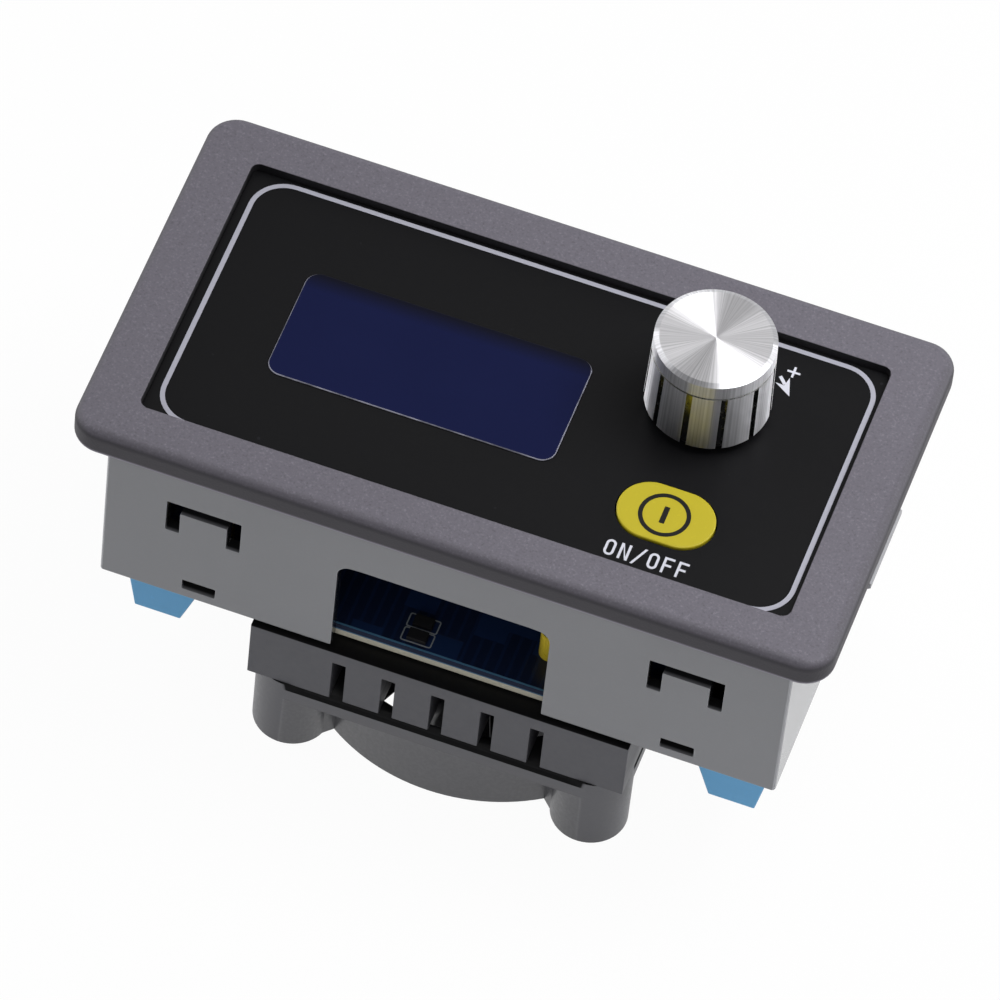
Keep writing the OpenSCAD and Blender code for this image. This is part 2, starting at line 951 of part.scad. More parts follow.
// Chip with gull-wing leads along its two long sides, seated on z = 0
module chip(w, d, h, leads) {
    lead_w = w / leads / 2;
    lead_reach = 1;
    foot_t = 0.2;
    stand = 0.1;
    box(w, d, stand, h);
    for (i = [0 : leads - 1], side = [0, 180])
        rotate(side)
            translate([(i - (leads - 1) / 2) * w / leads, d / 2, 0]) {
                translate([0, lead_reach / 2, 0])
                    box(lead_w, lead_reach, 0, foot_t);
                translate([0, foot_t / 2, 0])
                    box(lead_w, foot_t, 0, h / 2);
            }
}

module small_chip() {
    small_w = 5;
    small_d = 4;
    small_leads = 4;
    chip(small_w, small_d, chip_h, small_leads);
}

module front_chips() {
    controller_w = 9;
    controller_d = 7;
    controller_leads = 8;
    controller_inset = 11.05;
    controller_y = 2;
    pair_inset = 16.05;
    pair_pitch = 9;
    color("#202022")
        translate([0, 0, front_board_z])
            mirror([0, 0, 1]) {
                translate([controller_inset - board_w / 2, controller_y, 0])
                    chip(controller_w, controller_d, chip_h, controller_leads);
                for (side = [-0.5, 0.5])
                    translate([board_w / 2 - pair_inset, side * pair_pitch, 0])
                        small_chip();
            }
}

// Hexagonal spacers, each with a shank that is swaged into the rear board
module board_spacers() {
    color("goldenrod")
        four_corners(spacer_x, spacer_y)
            difference() {
                union() {
                    translate([0, 0, rear_face_z])
                        cylinder(d = spacer_af / cos(30), h = spacer_len, $fn = 6);
                    rod(spacer_shank_d, rear_board_z, rear_face_z);
                }
                rod(spacer_screw_d + 2 * run_gap, rear_board_z - over, front_board_z + over);
            }
}

module spacer_screws() {
    color("silver")
        four_corners(spacer_x, spacer_y) {
            rod(screw_head_d, front_face_z, front_face_z + screw_head_h);
            rod(spacer_screw_d, front_board_z - spacer_screw_len, front_face_z);
        }
}

module header_strip() {
    color("#1e1e20")
        difference() {
            header_block(front_board_z - header_strip_h, front_board_z);
            header_places()
                box(
                    header_pin_w + 2 * header_margin, header_pin_w + 2 * header_margin,
                    front_board_z - header_strip_h - over, front_board_z + over
                );
        }
}

module header_pins() {
    color("gold")
        header_places()
            box(
                header_pin_w, header_pin_w,
                front_board_z - header_strip_h - header_pin_len, front_face_z + header_pin_tail
            );
}

module header_socket() {
    socket_top_z = rear_face_z + header_socket_h;
    color("#1e1e20")
        difference() {
            header_block(rear_face_z, socket_top_z);
            header_places()
                box(
                    header_pin_w + 2 * hole_gap, header_pin_w + 2 * hole_gap,
                    front_board_z - header_strip_h - header_pin_len - hole_gap, socket_top_z + over
                );
        }
}

module rear_board() {
    color("#122a50")
        difference() {
            tall(rear_board_z, rear_face_z)
                board_outline();
            four_corners(spacer_x, spacer_y)
                rod(spacer_shank_d + 2 * seat_gap, rear_board_z - over, rear_face_z + over);
            at_cooler()
                for (side = [-1, 1])
                    translate([side * heatsink_screw_x, 0, 0])
                        rod(heatsink_screw_d + 2 * hole_gap, rear_board_z - over, rear_face_z + over);
            terminal_places()
                contact_pin(hole_gap);
            jack_leg_places()
                rod(jack_leg_d + 2 * hole_gap, rear_board_z - over, rear_face_z + over);
        }
}

// Power transistor with its tab and two leads, seated on z = 0
module transistor() {
    body_w = 10.2;
    body_d = 8.8;
    body_h = 4.4;
    tab_d = 1.5;
    tab_t = 1.3;
    lead_w = 0.9;
    lead_reach = 4.6;
    lead_t = 0.5;
    lead_x = 2.54;
    box(body_w, body_d, 0, body_h);
    translate([0, (body_d + tab_d) / 2, 0])
        box(body_w, tab_d, 0, tab_t);
    for (x = [-1, 1])
        translate([x * lead_x, -(body_d + lead_reach) / 2, 0])
            box(lead_w, lead_reach, 0, lead_t);
}

module power_transistors() {
    pair_x = 6;
    pair_y = 3;
    color("#242426")
        translate([cooler_x, pair_y, rear_face_z])
            for (side = [-1, 1])
                translate([side * pair_x, 0, 0])
                    transistor();
}

// Bridge-shaped shunt strip
module shunt_resistor() {
    shunt_w = 12;
    shunt_d = 3;
    shunt_t = 0.8;
    shunt_rise = 2;
    shunt_x = -15;
    shunt_inset = 10.15;
    color("#8a6a4a")
        translate([shunt_x, shunt_inset - board_h / 2, rear_face_z]) {
            box(shunt_w, shunt_d, shunt_rise - shunt_t, shunt_rise);
            for (side = [-1, 1])
                translate([side * (shunt_w - shunt_t) / 2, 0, 0])
                    box(shunt_t, shunt_d, 0, shunt_rise - shunt_t);
        }
}

module rear_chips() {
    resistor_w = 2;
    resistor_d = 1.25;
    resistor_h = 0.5;
    resistor_inset = 1.5;
    resistor_x = -3.1;
    resistor_pitch = 1.8;
    chip_inset = 11.05;
    left_chip_y = -2;
    right_chip_y = -6;
    color("#202022")
        translate([0, 0, rear_face_z]) {
            translate([chip_inset - board_w / 2, left_chip_y, 0])
                small_chip();
            translate([board_w / 2 - chip_inset, right_chip_y, 0])
                small_chip();
            for (i = [0, 1])
                translate([resistor_x, resistor_inset + i * resistor_pitch - board_h / 2, 0])
                    box(resistor_w, resistor_d, 0, resistor_h);
        }
}

module electrolytic_capacitors() {
    can_d = 6.3;
    can_h = 7.7;
    base_w = 6.6;
    base_h = 0.9;
    middle_x = 17;
    middle_inset = 5.25;
    side_inset = 5.05;
    right_y = -2.5;
    left_inset = 11;
    color("silver")
        for (place = [
            [middle_x, board_h / 2 - middle_inset],
            [board_w / 2 - side_inset, right_y],
            [side_inset - board_w / 2, board_h / 2 - left_inset],
        ])
            translate([place[0], place[1], rear_face_z]) {
                box(base_w, base_w, 0, base_h);
                rod(can_d, base_h, can_h);
            }
}

// Dipped capacitor with a rounded top edge
module film_capacitor() {
    cap_w = 5;
    cap_d = 3;
    cap_h = 3.8;
    cap_x = 12;
    cap_inset = 5.15;
    color("#d2b42a")
        translate([cap_x, cap_inset - board_h / 2, rear_face_z])
            soft_plate(cap_w, cap_d, cap_h, cap_d / 2, cap_d / 2 - seat_gap, seat_gap);
}

// Screw terminals

// Places of the four poles, as the right-hand terminal or its mirror image
module terminal_place(index) {
    mirror([index < 2 ? 1 : 0, 0, 0])
        translate([0, -terminal_end_y + (index % 2 + 0.5) * terminal_pitch, rear_board_z])
            mirror([0, 0, 1])
                children();
}

module terminal_places() {
    for (index = [0 : 3])
        terminal_place(index)
            children();
}

// Opening for one pole: cage chamber, screw head hole, stepped wire entry and contact slot
module pole_opening() {
    translate([terminal_axis_x, 0, 0]) {
        box(chamber_depth, chamber_w, -over, chamber_h);
        rod(terminal_head_d + 2 * hole_gap, 0, terminal_h + over);
        translate([0, -entry_w / 2, entry_base_h])
            cube([terminal_w, entry_w, entry_h]);
    }
    translate([terminal_out_x - entry_step_depth, -entry_w / 2 - entry_step, entry_base_h - entry_step])
        cube([terminal_w, entry_w + 2 * entry_step, entry_h + 2 * entry_step]);
    translate([contact_in_x - leg_gap, -contact_w / 2 - leg_gap, -over])
        cube([leg_t + 3 * leg_gap, contact_w + 2 * leg_gap, tongue_h + tongue_t + leg_gap + over]);
}

module terminal_housing() {
    color("#5091c3")
        difference() {
            translate([0, -terminal_end_y + terminal_len / 2, 0])
                along_y(terminal_len)
                    polygon([
                        [terminal_in_x, rear_board_z],
                        [terminal_out_x, rear_board_z],
                        [terminal_out_x, rear_board_z - terminal_taper],
                        [terminal_out_x - terminal_outer_slope, terminal_rear_z],
                        [terminal_in_x + terminal_inner_slope, terminal_rear_z],
                        [terminal_in_x, rear_board_z - terminal_taper],
                    ]);
            for (index = [2, 3])
                terminal_place(index)
                    pole_opening();
            for (end_y = [-terminal_end_y, terminal_len - terminal_end_y])
                translate([terminal_out_x - terminal_w / 2, end_y, rear_board_z - terminal_groove_drop])
                    cube([terminal_w + over, 2 * terminal_groove_depth, terminal_groove_h], center = true);
        }
}

module terminal_housing_right() {
    terminal_housing();
}

module terminal_housing_left() {
    mirror([1, 0, 0])
        terminal_housing();
}

module terminal_screw(index) {
    head_base_h = terminal_head_top_h - terminal_head_h;
    color("silver")
        terminal_place(index)
            translate([terminal_axis_x, 0, 0])
                difference() {
                    union() {
                        rod(terminal_screw_d, tongue_h + tongue_t + seat_gap, head_base_h);
                        rod(terminal_head_d, head_base_h, terminal_head_top_h);
                    }
                    box(
                        terminal_head_d + over, terminal_slot_w,
                        terminal_head_top_h - terminal_slot_depth, terminal_head_top_h + over
                    );
                }
}

module terminal_clamp(index) {
    color("gainsboro")
        terminal_place(index)
            translate([terminal_axis_x, 0, 0])
                difference() {
                    box(cage_depth, cage_w, cage_base_h, cage_base_h + cage_h);
                    box(cage_depth + over, cage_w - 2 * cage_wall, cage_base_h + cage_bar, cage_top_h);
                    rod(terminal_screw_d + 2 * run_gap, tongue_h, terminal_h);
                }
}

module contact_pin(gap) {
    translate([contact_in_x + leg_t / 2, 0, 0])
        box(
            contact_pin_w + 2 * gap, contact_pin_w + 2 * gap,
            -contact_pin_len - gap, gap > 0 ? over : 0
        );
}

// Bent strip of each pole: tongue in the cage, leg down to the board, solder pin
module terminal_contacts() {
    color("tan")
        terminal_places() {
            translate([contact_in_x, -contact_w / 2, 0])
                cube([leg_t, contact_w, tongue_h]);
            translate([contact_in_x, -contact_w / 2, tongue_h])
                cube([terminal_axis_x + cage_depth / 2 - contact_in_x, contact_w, tongue_t]);
            contact_pin(0);
        }
}

// Supply sockets

module jack_leg_places() {
    for (y = [jack_plate, jack_len - jack_plate])
        translate([jack_x, jack_mouth_y - y - jack_leg_d, 0])
            children();
}

module dc_jack_body() {
    axis_z = rear_board_z - jack_axis_h;
    color("#1c1c1e")
        difference() {
            union() {
                translate([jack_x, jack_mouth_y - jack_plate / 2, 0])
                    box(jack_w, jack_plate, rear_board_z - jack_h, rear_board_z);
                translate([jack_x, jack_mouth_y - (jack_len + jack_plate) / 2, 0])
                    along_y(jack_len - jack_plate) {
                        translate([0, axis_z])
                            circle(d = jack_w);
                        translate([-jack_w / 2, axis_z])
                            square([jack_w, jack_axis_h]);
                    }
            }
            translate([jack_x, jack_mouth_y - jack_bore_len, axis_z])
                rotate([-90, 0, 0])
                    cylinder(d = jack_bore_d, h = jack_bore_len + over);
            jack_leg_places()
                rod(jack_leg_d + 2 * seat_gap, axis_z + jack_bore_d / 2 + jack_pin_gap, rear_board_z + over);
            translate([jack_x, jack_mouth_y - jack_len - over, axis_z])
                rotate([-90, 0, 0])
                    cylinder(d = jack_pin_d + 2 * seat_gap, h = jack_len);
        }
}

module dc_jack_contacts() {
    axis_z = rear_board_z - jack_axis_h;
    color("silver") {
        translate([jack_x, jack_mouth_y - jack_len, axis_z])
            rotate([-90, 0, 0])
                cylinder(d = jack_pin_d, h = jack_len - jack_pin_gap);
        jack_leg_places()
            rod(jack_leg_d, axis_z + jack_bore_d / 2 + jack_pin_gap + seat_gap, rear_face_z + jack_leg_d);
    }
}

module usb_shell() {
    color("silver")
        translate([usb_x, usb_mouth_y - usb_len / 2, rear_board_z - usb_h / 2])
            along_y(usb_len)
                difference() {
                    square([usb_w, usb_h], center = true);
                    square([usb_w - 2 * usb_wall, usb_h - 2 * usb_wall], center = true);
                }
}

module usb_tongue() {
    mid_z = rear_board_z - usb_h / 2;
    color("#202022")
        translate([usb_x, usb_mouth_y - usb_len, 0]) {
            translate([0, usb_back / 2, 0])
                box(
                    usb_w - 2 * usb_wall, usb_back,
                    rear_board_z - usb_h + usb_wall, rear_board_z - usb_wall
                );
            translate([0, usb_len / 2, 0])
                box(usb_tongue_w, usb_len - 2 * usb_wall, mid_z - usb_tongue_t / 2, mid_z + usb_tongue_t / 2);
        }
}

// Heatsink

module thermal_pad() {
    color("lightgray")
        at_cooler()
            tall(pad_z, rear_board_z)
                difference() {
                    square([heatsink_w - 2 * pad_margin, heatsink_d - 2 * pad_margin], center = true);
                    for (side = [-1, 1])
                        translate([side * heatsink_screw_x, 0])
                            circle(d = heatsink_screw_d + 2 * hole_gap);
                }
}

module heatsink() {
    color("#55555a")
        at_cooler()
            difference() {
                box(heatsink_w, heatsink_d, heatsink_z, pad_z);
                for (i = [0 : fin_slots - 1])
                    translate([(i - (fin_slots - 1) / 2) * fin_pitch, 0, 0])
                        box(fin_slot_w, heatsink_d + over, heatsink_z - over, pad_z - heatsink_base);
                for (side = [-1, 1])
                    translate([side * heatsink_screw_x, 0, 0])
                        rod(heatsink_screw_d + 2 * run_gap, pad_z - heatsink_screw_depth, pad_z + over);
                four_corners(fan_pitch / 2, fan_pitch / 2)
                    rod(fan_screw_d + 2 * run_gap, heatsink_z - over, heatsink_z + fan_screw_depth);
            }
}

module heatsink_screws() {
    head_z = rear_face_z;
    color("silver")
        at_cooler()
            for (side = [-1, 1])
                translate([side * heatsink_screw_x, 0, 0]) {
                    rod(heatsink_head_d, head_z, head_z + heatsink_head_h);
                    rod(heatsink_screw_d, pad_z - heatsink_screw_depth + hole_gap, head_z);
                }
}

// Fan

// Corner lug with two flats that run to the duct
module lug_outline() {
    translate([fan_pitch / 2, fan_pitch / 2]) {
        circle(lug_r);
        rotate(45)
            translate([-lug_r, -lug_flat])
                square([lug_r, 2 * lug_flat]);
    }
}

module fan_frame() {
    color("#5a5a5f")
        at_cooler() {
            difference() {
                union() {
                    tall(fan_t - fan_flange_t, fan_t - fan_step_h)
                        rounded_rect(fan_size, fan_size, lug_r);
                    tall(fan_t - fan_step_h, fan_t) {
                        rounded_rect(fan_step_w, fan_step_w, lug_r - fan_step_d);
                        four_corners(fan_pitch / 2, fan_pitch / 2)
                            circle(lug_r);
                    }
                    tall(0, fan_t - fan_flange_t) {
                        circle(d = fan_size - 2 * duct_margin, $fn = 96);
                        for (turn = [0 : 3])
                            rotate(turn * 90)
                                lug_outline();
                    }
                }
                rod(2 * duct_r, -over, fan_t + over);
                four_corners(fan_pitch / 2, fan_pitch / 2) {
                    rod(fan_screw_d + 2 * hole_gap, -over, fan_t + over);
                    rod(counterbore_d, -over, counterbore_depth);
                }
            }
            difference() {
                union() {
                    rod(fan_plate_d, fan_plate_z, fan_t);
                    for (i = [0 : strut_count - 1])
                        rotate(strut_angle + i * 360 / strut_count)
                            translate([0, -strut_w / 2, fan_plate_z])
                                cube([duct_r + fan_wall / 2, strut_w, fan_plate_t]);
                    rod(tube_d, tube_z, fan_plate_z);
                }
                rod(bearing_d + 2 * seat_gap, tube_z - over, tube_z + bearing_h);
            }
        }
}

module at_fan_axis() {
    at_cooler()
        rotate(fan_rest_angle)
            children();
}

module fan_blade() {
    translate([0, 0, blade_z])
        linear_extrude(blade_h, twist = -blade_sweep, slices = blade_slices, segments = blade_segments)
            translate([hub_d / 2 - blade_root, -blade_t / 2])
                square([duct_r - blade_gap - hub_d / 2 + blade_root, blade_t]);
}

module fan_rotor() {
    color("#4a4a4e")
        at_fan_axis()
            difference() {
                union() {
                    rod(hub_d, hub_z, hub_top_z);
                    for (i = [0 : blade_count - 1])
                        rotate(i * 360 / blade_count)
                            fan_blade();
                }
                difference() {
                    rod(hub_d - 2 * hub_wall, hub_z + hub_t, hub_top_z + over);
                    rod(boss_d, hub_z, hub_z + hub_t + boss_h);
                }
                rod(fan_shaft_d + 2 * seat_gap, hub_z + hub_t / 2, hub_top_z);
            }
}

module fan_magnet() {
    ring_d = hub_d - 2 * hub_wall;
    color("#38383a")
        at_cooler()
            tall(magnet_z, magnet_z + magnet_h)
                difference() {
                    circle(d = ring_d - 2 * seat_gap);
                    circle(d = ring_d - 2 * magnet_t);
                }
}

module fan_shaft() {
    color("silver")
        at_cooler()
            rod(fan_shaft_d, hub_z + hub_t / 2, tube_z + bearing_h - hole_gap);
}

module fan_bearing() {
    color("peru")
        at_cooler()
            tall(tube_z, tube_z + bearing_h - hole_gap)
                difference() {
                    circle(d = bearing_d);
                    circle(d = fan_shaft_d + 2 * run_gap);
                }
}

// Stator core: ring on the bearing tube, four arms and their pole shoes
module fan_stator() {
    color("slategray")
        at_cooler()
            tall(stator_z, stator_z + stator_h)
                difference() {
                    union() {
                        circle(d = tube_d + 2 * stator_ring);
                        for (turn = [0, 90])
                            rotate(turn)
                                square([stator_d - stator_shoe_t, stator_arm_w], center = true);
                        intersection() {
                            difference() {
                                circle(d = stator_d);
                                circle(d = stator_d - 2 * stator_shoe_t);
                            }
                            for (turn = [0, 90])
                                rotate(turn)
                                    square([stator_d, stator_shoe_w], center = true);
                        }
                    }
                    circle(d = tube_d + 2 * seat_gap);
                }
}

module fan_coils() {
    inner_x = tube_d / 2 + stator_ring + hole_gap;
    outer_x = stator_d / 2 - stator_shoe_t - hole_gap - stator_shoe_w * stator_shoe_w / stator_d / 4;
    coil_w = stator_arm_w + 2 * coil_t;
    color("chocolate")
        at_cooler()
            for (turn = [0 : 3])
                rotate(turn * 90)
                    difference() {
                        translate([inner_x, -coil_w / 2, stator_z - coil_t])
                            cube([outer_x - inner_x, coil_w, stator_h + 2 * coil_t]);
                        translate([0, -stator_arm_w / 2 - seat_gap, stator_z - seat_gap])
                            cube([stator_d, stator_arm_w + 2 * seat_gap, stator_h + 2 * seat_gap]);
                    }
}

module fan_board() {
    color("seagreen")
        at_cooler()
            tall(fan_board_z, fan_plate_z)
                difference() {
                    circle(d = fan_board_d);
                    circle(d = tube_d + 2 * hole_gap);
                }
}

module fan_screws() {
    color("silver")
        at_cooler()
            four_corners(fan_pitch / 2, fan_pitch / 2) {
                rod(counterbore_d - 2 * hole_gap, fan_head_z, counterbore_depth);
                rod(fan_screw_d, counterbore_depth, heatsink_z + fan_screw_reach);
            }
}

case_shell();
front_overlay();
display_window();
lcd_glass();
lcd_backlight();
lcd_pins();
knob_cap();
knob_core();
encoder_shaft();
encoder_cover();
encoder_base();
encoder_rotor();
encoder_plunger();
power_key();
switch_body();
switch_cover();
switch_stem();
front_board();
front_chips();
board_spacers();
spacer_screws();
header_strip();
header_pins();
header_socket();
rear_board();
power_transistors();
shunt_resistor();
rear_chips();
electrolytic_capacitors();
film_capacitor();
terminal_housing_left();
terminal_housing_right();
terminal_screw(0);  // terminal_screw_1
terminal_screw(1);  // terminal_screw_2
terminal_screw(2);  // terminal_screw_3
terminal_screw(3);  // terminal_screw_4
terminal_clamp(0);  // terminal_clamp_1
terminal_clamp(1);  // terminal_clamp_2
terminal_clamp(2);  // terminal_clamp_3
terminal_clamp(3);  // terminal_clamp_4
terminal_contacts();
dc_jack_body();
dc_jack_contacts();
usb_shell();
usb_tongue();
thermal_pad();
heatsink();
heatsink_screws();
fan_frame();
fan_rotor();
fan_magnet();
fan_shaft();
fan_bearing();
fan_stator();
fan_coils();
fan_board();
fan_screws();
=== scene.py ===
"""Looks of a panel-mount DC electronic load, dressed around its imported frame.

All pieces are in metres and in the frame's own axes: +X across the panel, +Y up the panel and +Z out of the
front face. The unit stands face up on its fan.
"""
import logging
import math
from dataclasses import dataclass, field
from enum import Enum, IntEnum

import bmesh
import bpy
from mathutils import Matrix, Vector


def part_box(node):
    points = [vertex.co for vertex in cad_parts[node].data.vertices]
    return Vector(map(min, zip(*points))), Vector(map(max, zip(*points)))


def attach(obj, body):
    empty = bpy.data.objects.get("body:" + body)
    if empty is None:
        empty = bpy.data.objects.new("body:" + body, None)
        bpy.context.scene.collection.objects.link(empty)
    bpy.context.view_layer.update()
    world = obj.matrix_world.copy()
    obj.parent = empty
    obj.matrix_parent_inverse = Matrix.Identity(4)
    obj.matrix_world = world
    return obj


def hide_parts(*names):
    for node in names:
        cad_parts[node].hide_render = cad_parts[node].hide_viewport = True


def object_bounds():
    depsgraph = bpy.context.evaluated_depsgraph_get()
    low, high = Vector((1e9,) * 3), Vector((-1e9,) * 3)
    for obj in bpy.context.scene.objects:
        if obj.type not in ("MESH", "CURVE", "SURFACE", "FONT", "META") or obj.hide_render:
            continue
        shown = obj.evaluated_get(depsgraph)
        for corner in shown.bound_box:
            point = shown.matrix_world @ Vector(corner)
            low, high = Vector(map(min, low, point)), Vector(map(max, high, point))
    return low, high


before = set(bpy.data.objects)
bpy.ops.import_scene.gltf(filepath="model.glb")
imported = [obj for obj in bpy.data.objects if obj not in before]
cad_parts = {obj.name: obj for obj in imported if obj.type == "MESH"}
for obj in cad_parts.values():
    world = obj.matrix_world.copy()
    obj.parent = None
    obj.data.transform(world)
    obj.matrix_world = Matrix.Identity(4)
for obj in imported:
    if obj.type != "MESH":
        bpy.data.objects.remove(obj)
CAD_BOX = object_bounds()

LOG = logging.getLogger("electronic_load")
LATHE_MAP = "lathe"
MM = 0.001
SEED = 11
MERGE_GAP = 0.002 * MM
SMOOTH_ANGLE = 32.0
SOFT_ANGLE = 40.0
SOFT_STEPS = 2
NOISE_BAND = (0.3, 0.7)
QUARTERS = ((1, 1), (-1, 1), (-1, -1), (1, -1))

Colour = tuple[float, float, float]
Point = tuple[float, float]
Box = tuple[Vector, Vector]
Socket = bpy.types.NodeSocket


class Axis(IntEnum):
    """Index of each axis of the frame."""

    X = 0
    Y = 1
    Z = 2


class Slot(Enum):
    """Material slots of the record, which each new piece names beside its finish."""

    CASE = "case"
    WHITE = "white_plastic"
    DARK = "dark_plastic"
    METAL = "knob_metal"
    STEEL = "steel"
    TINNED = "tinned"
    BLUE = "terminal_blue"
    YELLOW = "capacitor_yellow"
    ANODISED = "anodised"
    FAN = "fan_plastic"
    BOARD = "board"


class Body(Enum):
    """Bodies that new pieces ride on."""

    CASE = "case_body"
    KNOB = "knob_body"
    KEY = "key_body"
    FAN = "fan_body"


class Facing(Enum):
    """Which way a screw's head points along Z."""

    UP = "up"
    DOWN = "down"


class KnobFace(IntEnum):
    """Material index of each kind of face on the knob."""

    TOP = 0
    SIDE = 1
    GROOVE = 2


def srgb(*levels: int) -> Colour:
    """Turns a display colour, given as levels from 0 to 255, into the linear colour that shaders take."""
    shares = [level / 255 for level in levels]
    return tuple(s / 12.92 if s <= 0.04045 else ((s + 0.055) / 1.055) ** 2.4 for s in shares)


def opaque(colour: Colour) -> tuple[float, float, float, float]:
    """Adds full alpha to a colour."""
    return (*colour, 1.0)


def shade(colour: Colour, factor: float) -> Colour:
    """Makes a colour darker or lighter by a factor."""
    return tuple(min(1.0, channel * factor) for channel in colour)


class NodeTree:
    """A node tree, with short calls for the nodes that finishes, patterns and the studio share."""

    def __init__(self, tree: bpy.types.NodeTree) -> None:
        """Takes the tree that the nodes go into."""
        self.tree = tree

    def feed(self, target: Socket, value: object) -> None:
        """Links an input socket to an output socket, or sets its value.

        Args:
            target: Input socket.
            value: Output socket, number, colour or vector.
        """
        if isinstance(value, bpy.types.NodeSocket):
            self.tree.links.new(value, target)
        else:
            target.default_value = value

    def fill(self, node: bpy.types.Node, **values: object) -> None:
        """Sets a node's options and feeds its inputs.

        Args:
            node: Node.
            **values: Options by their names, and inputs by theirs with a capital and _ for a space.
        """
        for name, value in values.items():
            if name[0].isupper():
                self.feed(node.inputs[name.replace("_", " ")], value)
            else:
                setattr(node, name, value)

    def add(self, kind: str, **values: object) -> bpy.types.Node:
        """Adds a node.

        Args:
            kind: Node type.
            **values: Options and inputs, as fill takes them.

        Returns:
            The node.
        """
        node = self.tree.nodes.new(kind)
        self.fill(node, **values)
        return node

    def out(self, kind: str, **values: object) -> Socket:
        """Adds a node and gives its first output."""
        return self.add(kind, **values).outputs[0]

    def pair(self, kind: str, operation: str, first: object, second: object) -> Socket:
        """Adds a node that works on two values.

        Args:
            kind: Node type.
            operation: What it does with them.
            first: First value or socket.
            second: Second value or socket.

        Returns:
            The result.
        """
        node = self.add(kind, operation=operation)
        self.feed(node.inputs[0], first)
        self.feed(node.inputs[1], second)
        return node.outputs[0]

    def math(self, operation: str, first: object, second: object = 0.0) -> Socket:
        """Adds one calculation with two numbers."""
        return self.pair("ShaderNodeMath", operation, first, second)

    def span(self, value: Socket, low: float, high: float, start: float = 0.0, end: float = 1.0) -> Socket:
        """Maps a value from the range low to high onto start to end, and holds it there."""
        ends = {"From_Min": low, "From_Max": high, "To_Min": start, "To_Max": end}
        return self.out("ShaderNodeMapRange", Value=value, **ends)

    def blend(self, share: Socket, first: Socket, second: Socket) -> Socket:
        """Mixes two shaders.

        Args:
            share: Share of the second one.
            first: Shader.
            second: Shader.

        Returns:
            The mixed shader.
        """
        node = self.add("ShaderNodeMixShader")
        for target, value in zip(node.inputs, (share, first, second)):
            self.feed(target, value)
        return node.outputs[0]


class Graph(NodeTree):
    """A material's node tree, with calls for the patterns and marks that the finishes share."""

    def __init__(self, name: str) -> None:
        """Starts a material with its principled shader and object coordinates.

        Args:
            name: Name of the material.
        """
        self.material = bpy.data.materials.new(name)
        self.material.use_nodes = True
        super().__init__(self.material.node_tree)
        self.shader = self.tree.nodes["Principled BSDF"]
        self.place = self.add("ShaderNodeTexCoord").outputs["Object"]

    def set(self, **values: object) -> None:
        """Feeds the shader's inputs, whose names are given with _ for a space."""
        self.fill(self.shader, **values)

    def axis(self, axis: Axis) -> Socket:
        """Gives one object coordinate."""
        return self.add("ShaderNodeSeparateXYZ", Vector=self.place).outputs[axis]

    def facing(self, axis: Axis) -> Socket:
        """Gives one component of the surface normal."""
        normal = self.add("ShaderNodeNewGeometry").outputs["Normal"]
        return self.add("ShaderNodeSeparateXYZ", Vector=normal).outputs[axis]

    def upward(self) -> Socket:
        """Marks faces that point the way that the front does."""
        return self.span(self.facing(Axis.Z), 0.4, 0.7)

    def edges(self) -> Socket:
        """Marks rounded edges, where the surface faces none of the three axes.

        Returns:
            One on an edge, zero on a flat face.
        """
        across, up, forward = (self.math("ABSOLUTE", self.facing(axis)) for axis in Axis)
        most = self.math("MAXIMUM", self.math("MAXIMUM", across, up), forward)
        return self.span(most, 0.97, 0.88)

    def moved(self, offset: Vector, stretch: tuple[float, float, float] = (1, 1, 1)) -> Socket:
        """Centres the object coordinates on a point and stretches them along each axis."""
        shift = self.pair("ShaderNodeVectorMath", "SUBTRACT", self.place, tuple(offset))
        return self.pair("ShaderNodeVectorMath", "MULTIPLY", shift, stretch)

    def noise(self, scale: float, detail: float = 2.0, vector: Socket | None = None) -> Socket:
        """Adds a noise pattern, whose scale counts features for each metre, on these or other coordinates."""
        return self.out("ShaderNodeTexNoise", Vector=vector or self.place, Scale=scale, Detail=detail)

    def uneven(self, pattern: Socket, low: float, high: float) -> Socket:
        """Spreads the middle band of a noise pattern from a low value to a high one."""
        return self.span(pattern, *NOISE_BAND, low, high)

    def mix(self, share: object, first: object, second: object) -> Socket:
        """Mixes two colours.

        Args:
            share: Share of the second one.
            first: Colour or socket.
            second: Colour or socket.

        Returns:
            The mixed colour.
        """
        node = self.add("ShaderNodeMix", data_type="RGBA")
        # Colours are the node's inputs 6 and 7 and its output 2; the others serve numbers and vectors.
        for index, value in ((0, share), (6, first), (7, second)):
            self.feed(node.inputs[index], opaque(value) if isinstance(value, tuple) else value)
        return node.outputs[2]

    def varied(self, pattern: Socket, colour: Colour, low: float, high: float) -> Socket:
        """Varies a colour between two of its shades, as a pattern says."""
        return self.mix(pattern, shade(colour, low), shade(colour, high))

    def layered(self, base: object, colour: Colour, *layers: tuple[object, float]) -> Socket:
        """Lays shades of a colour over a base, one after the other.

        Args:
            base: Colour or socket at the bottom.
            colour: Colour whose shades are laid on it.
            *layers: Where each one lies, and the factor of its shade.

        Returns:
            The colour with all layers.
        """
        for mark, factor in layers:
            base = self.mix(mark, base, shade(colour, factor))
        return base

    def bump(self, height: Socket, depth: float, **below: Socket) -> Socket:
        """Turns a height pattern of a depth in metres into a normal, laid on a Normal if one is given."""
        return self.out("ShaderNodeBump", Height=height, Distance=depth, **below)


@dataclass(frozen=True)
class Finish:
    """A named recipe for a material."""

    name: str

    def paint(self, graph: Graph) -> None:
        """Adds the recipe to a material's graph."""
        raise NotImplementedError

    def make(self) -> bpy.types.Material:
        """Builds the material.

        Returns:
            The material.
        """
        graph = Graph(self.name)
        self.paint(graph)
        return graph.material


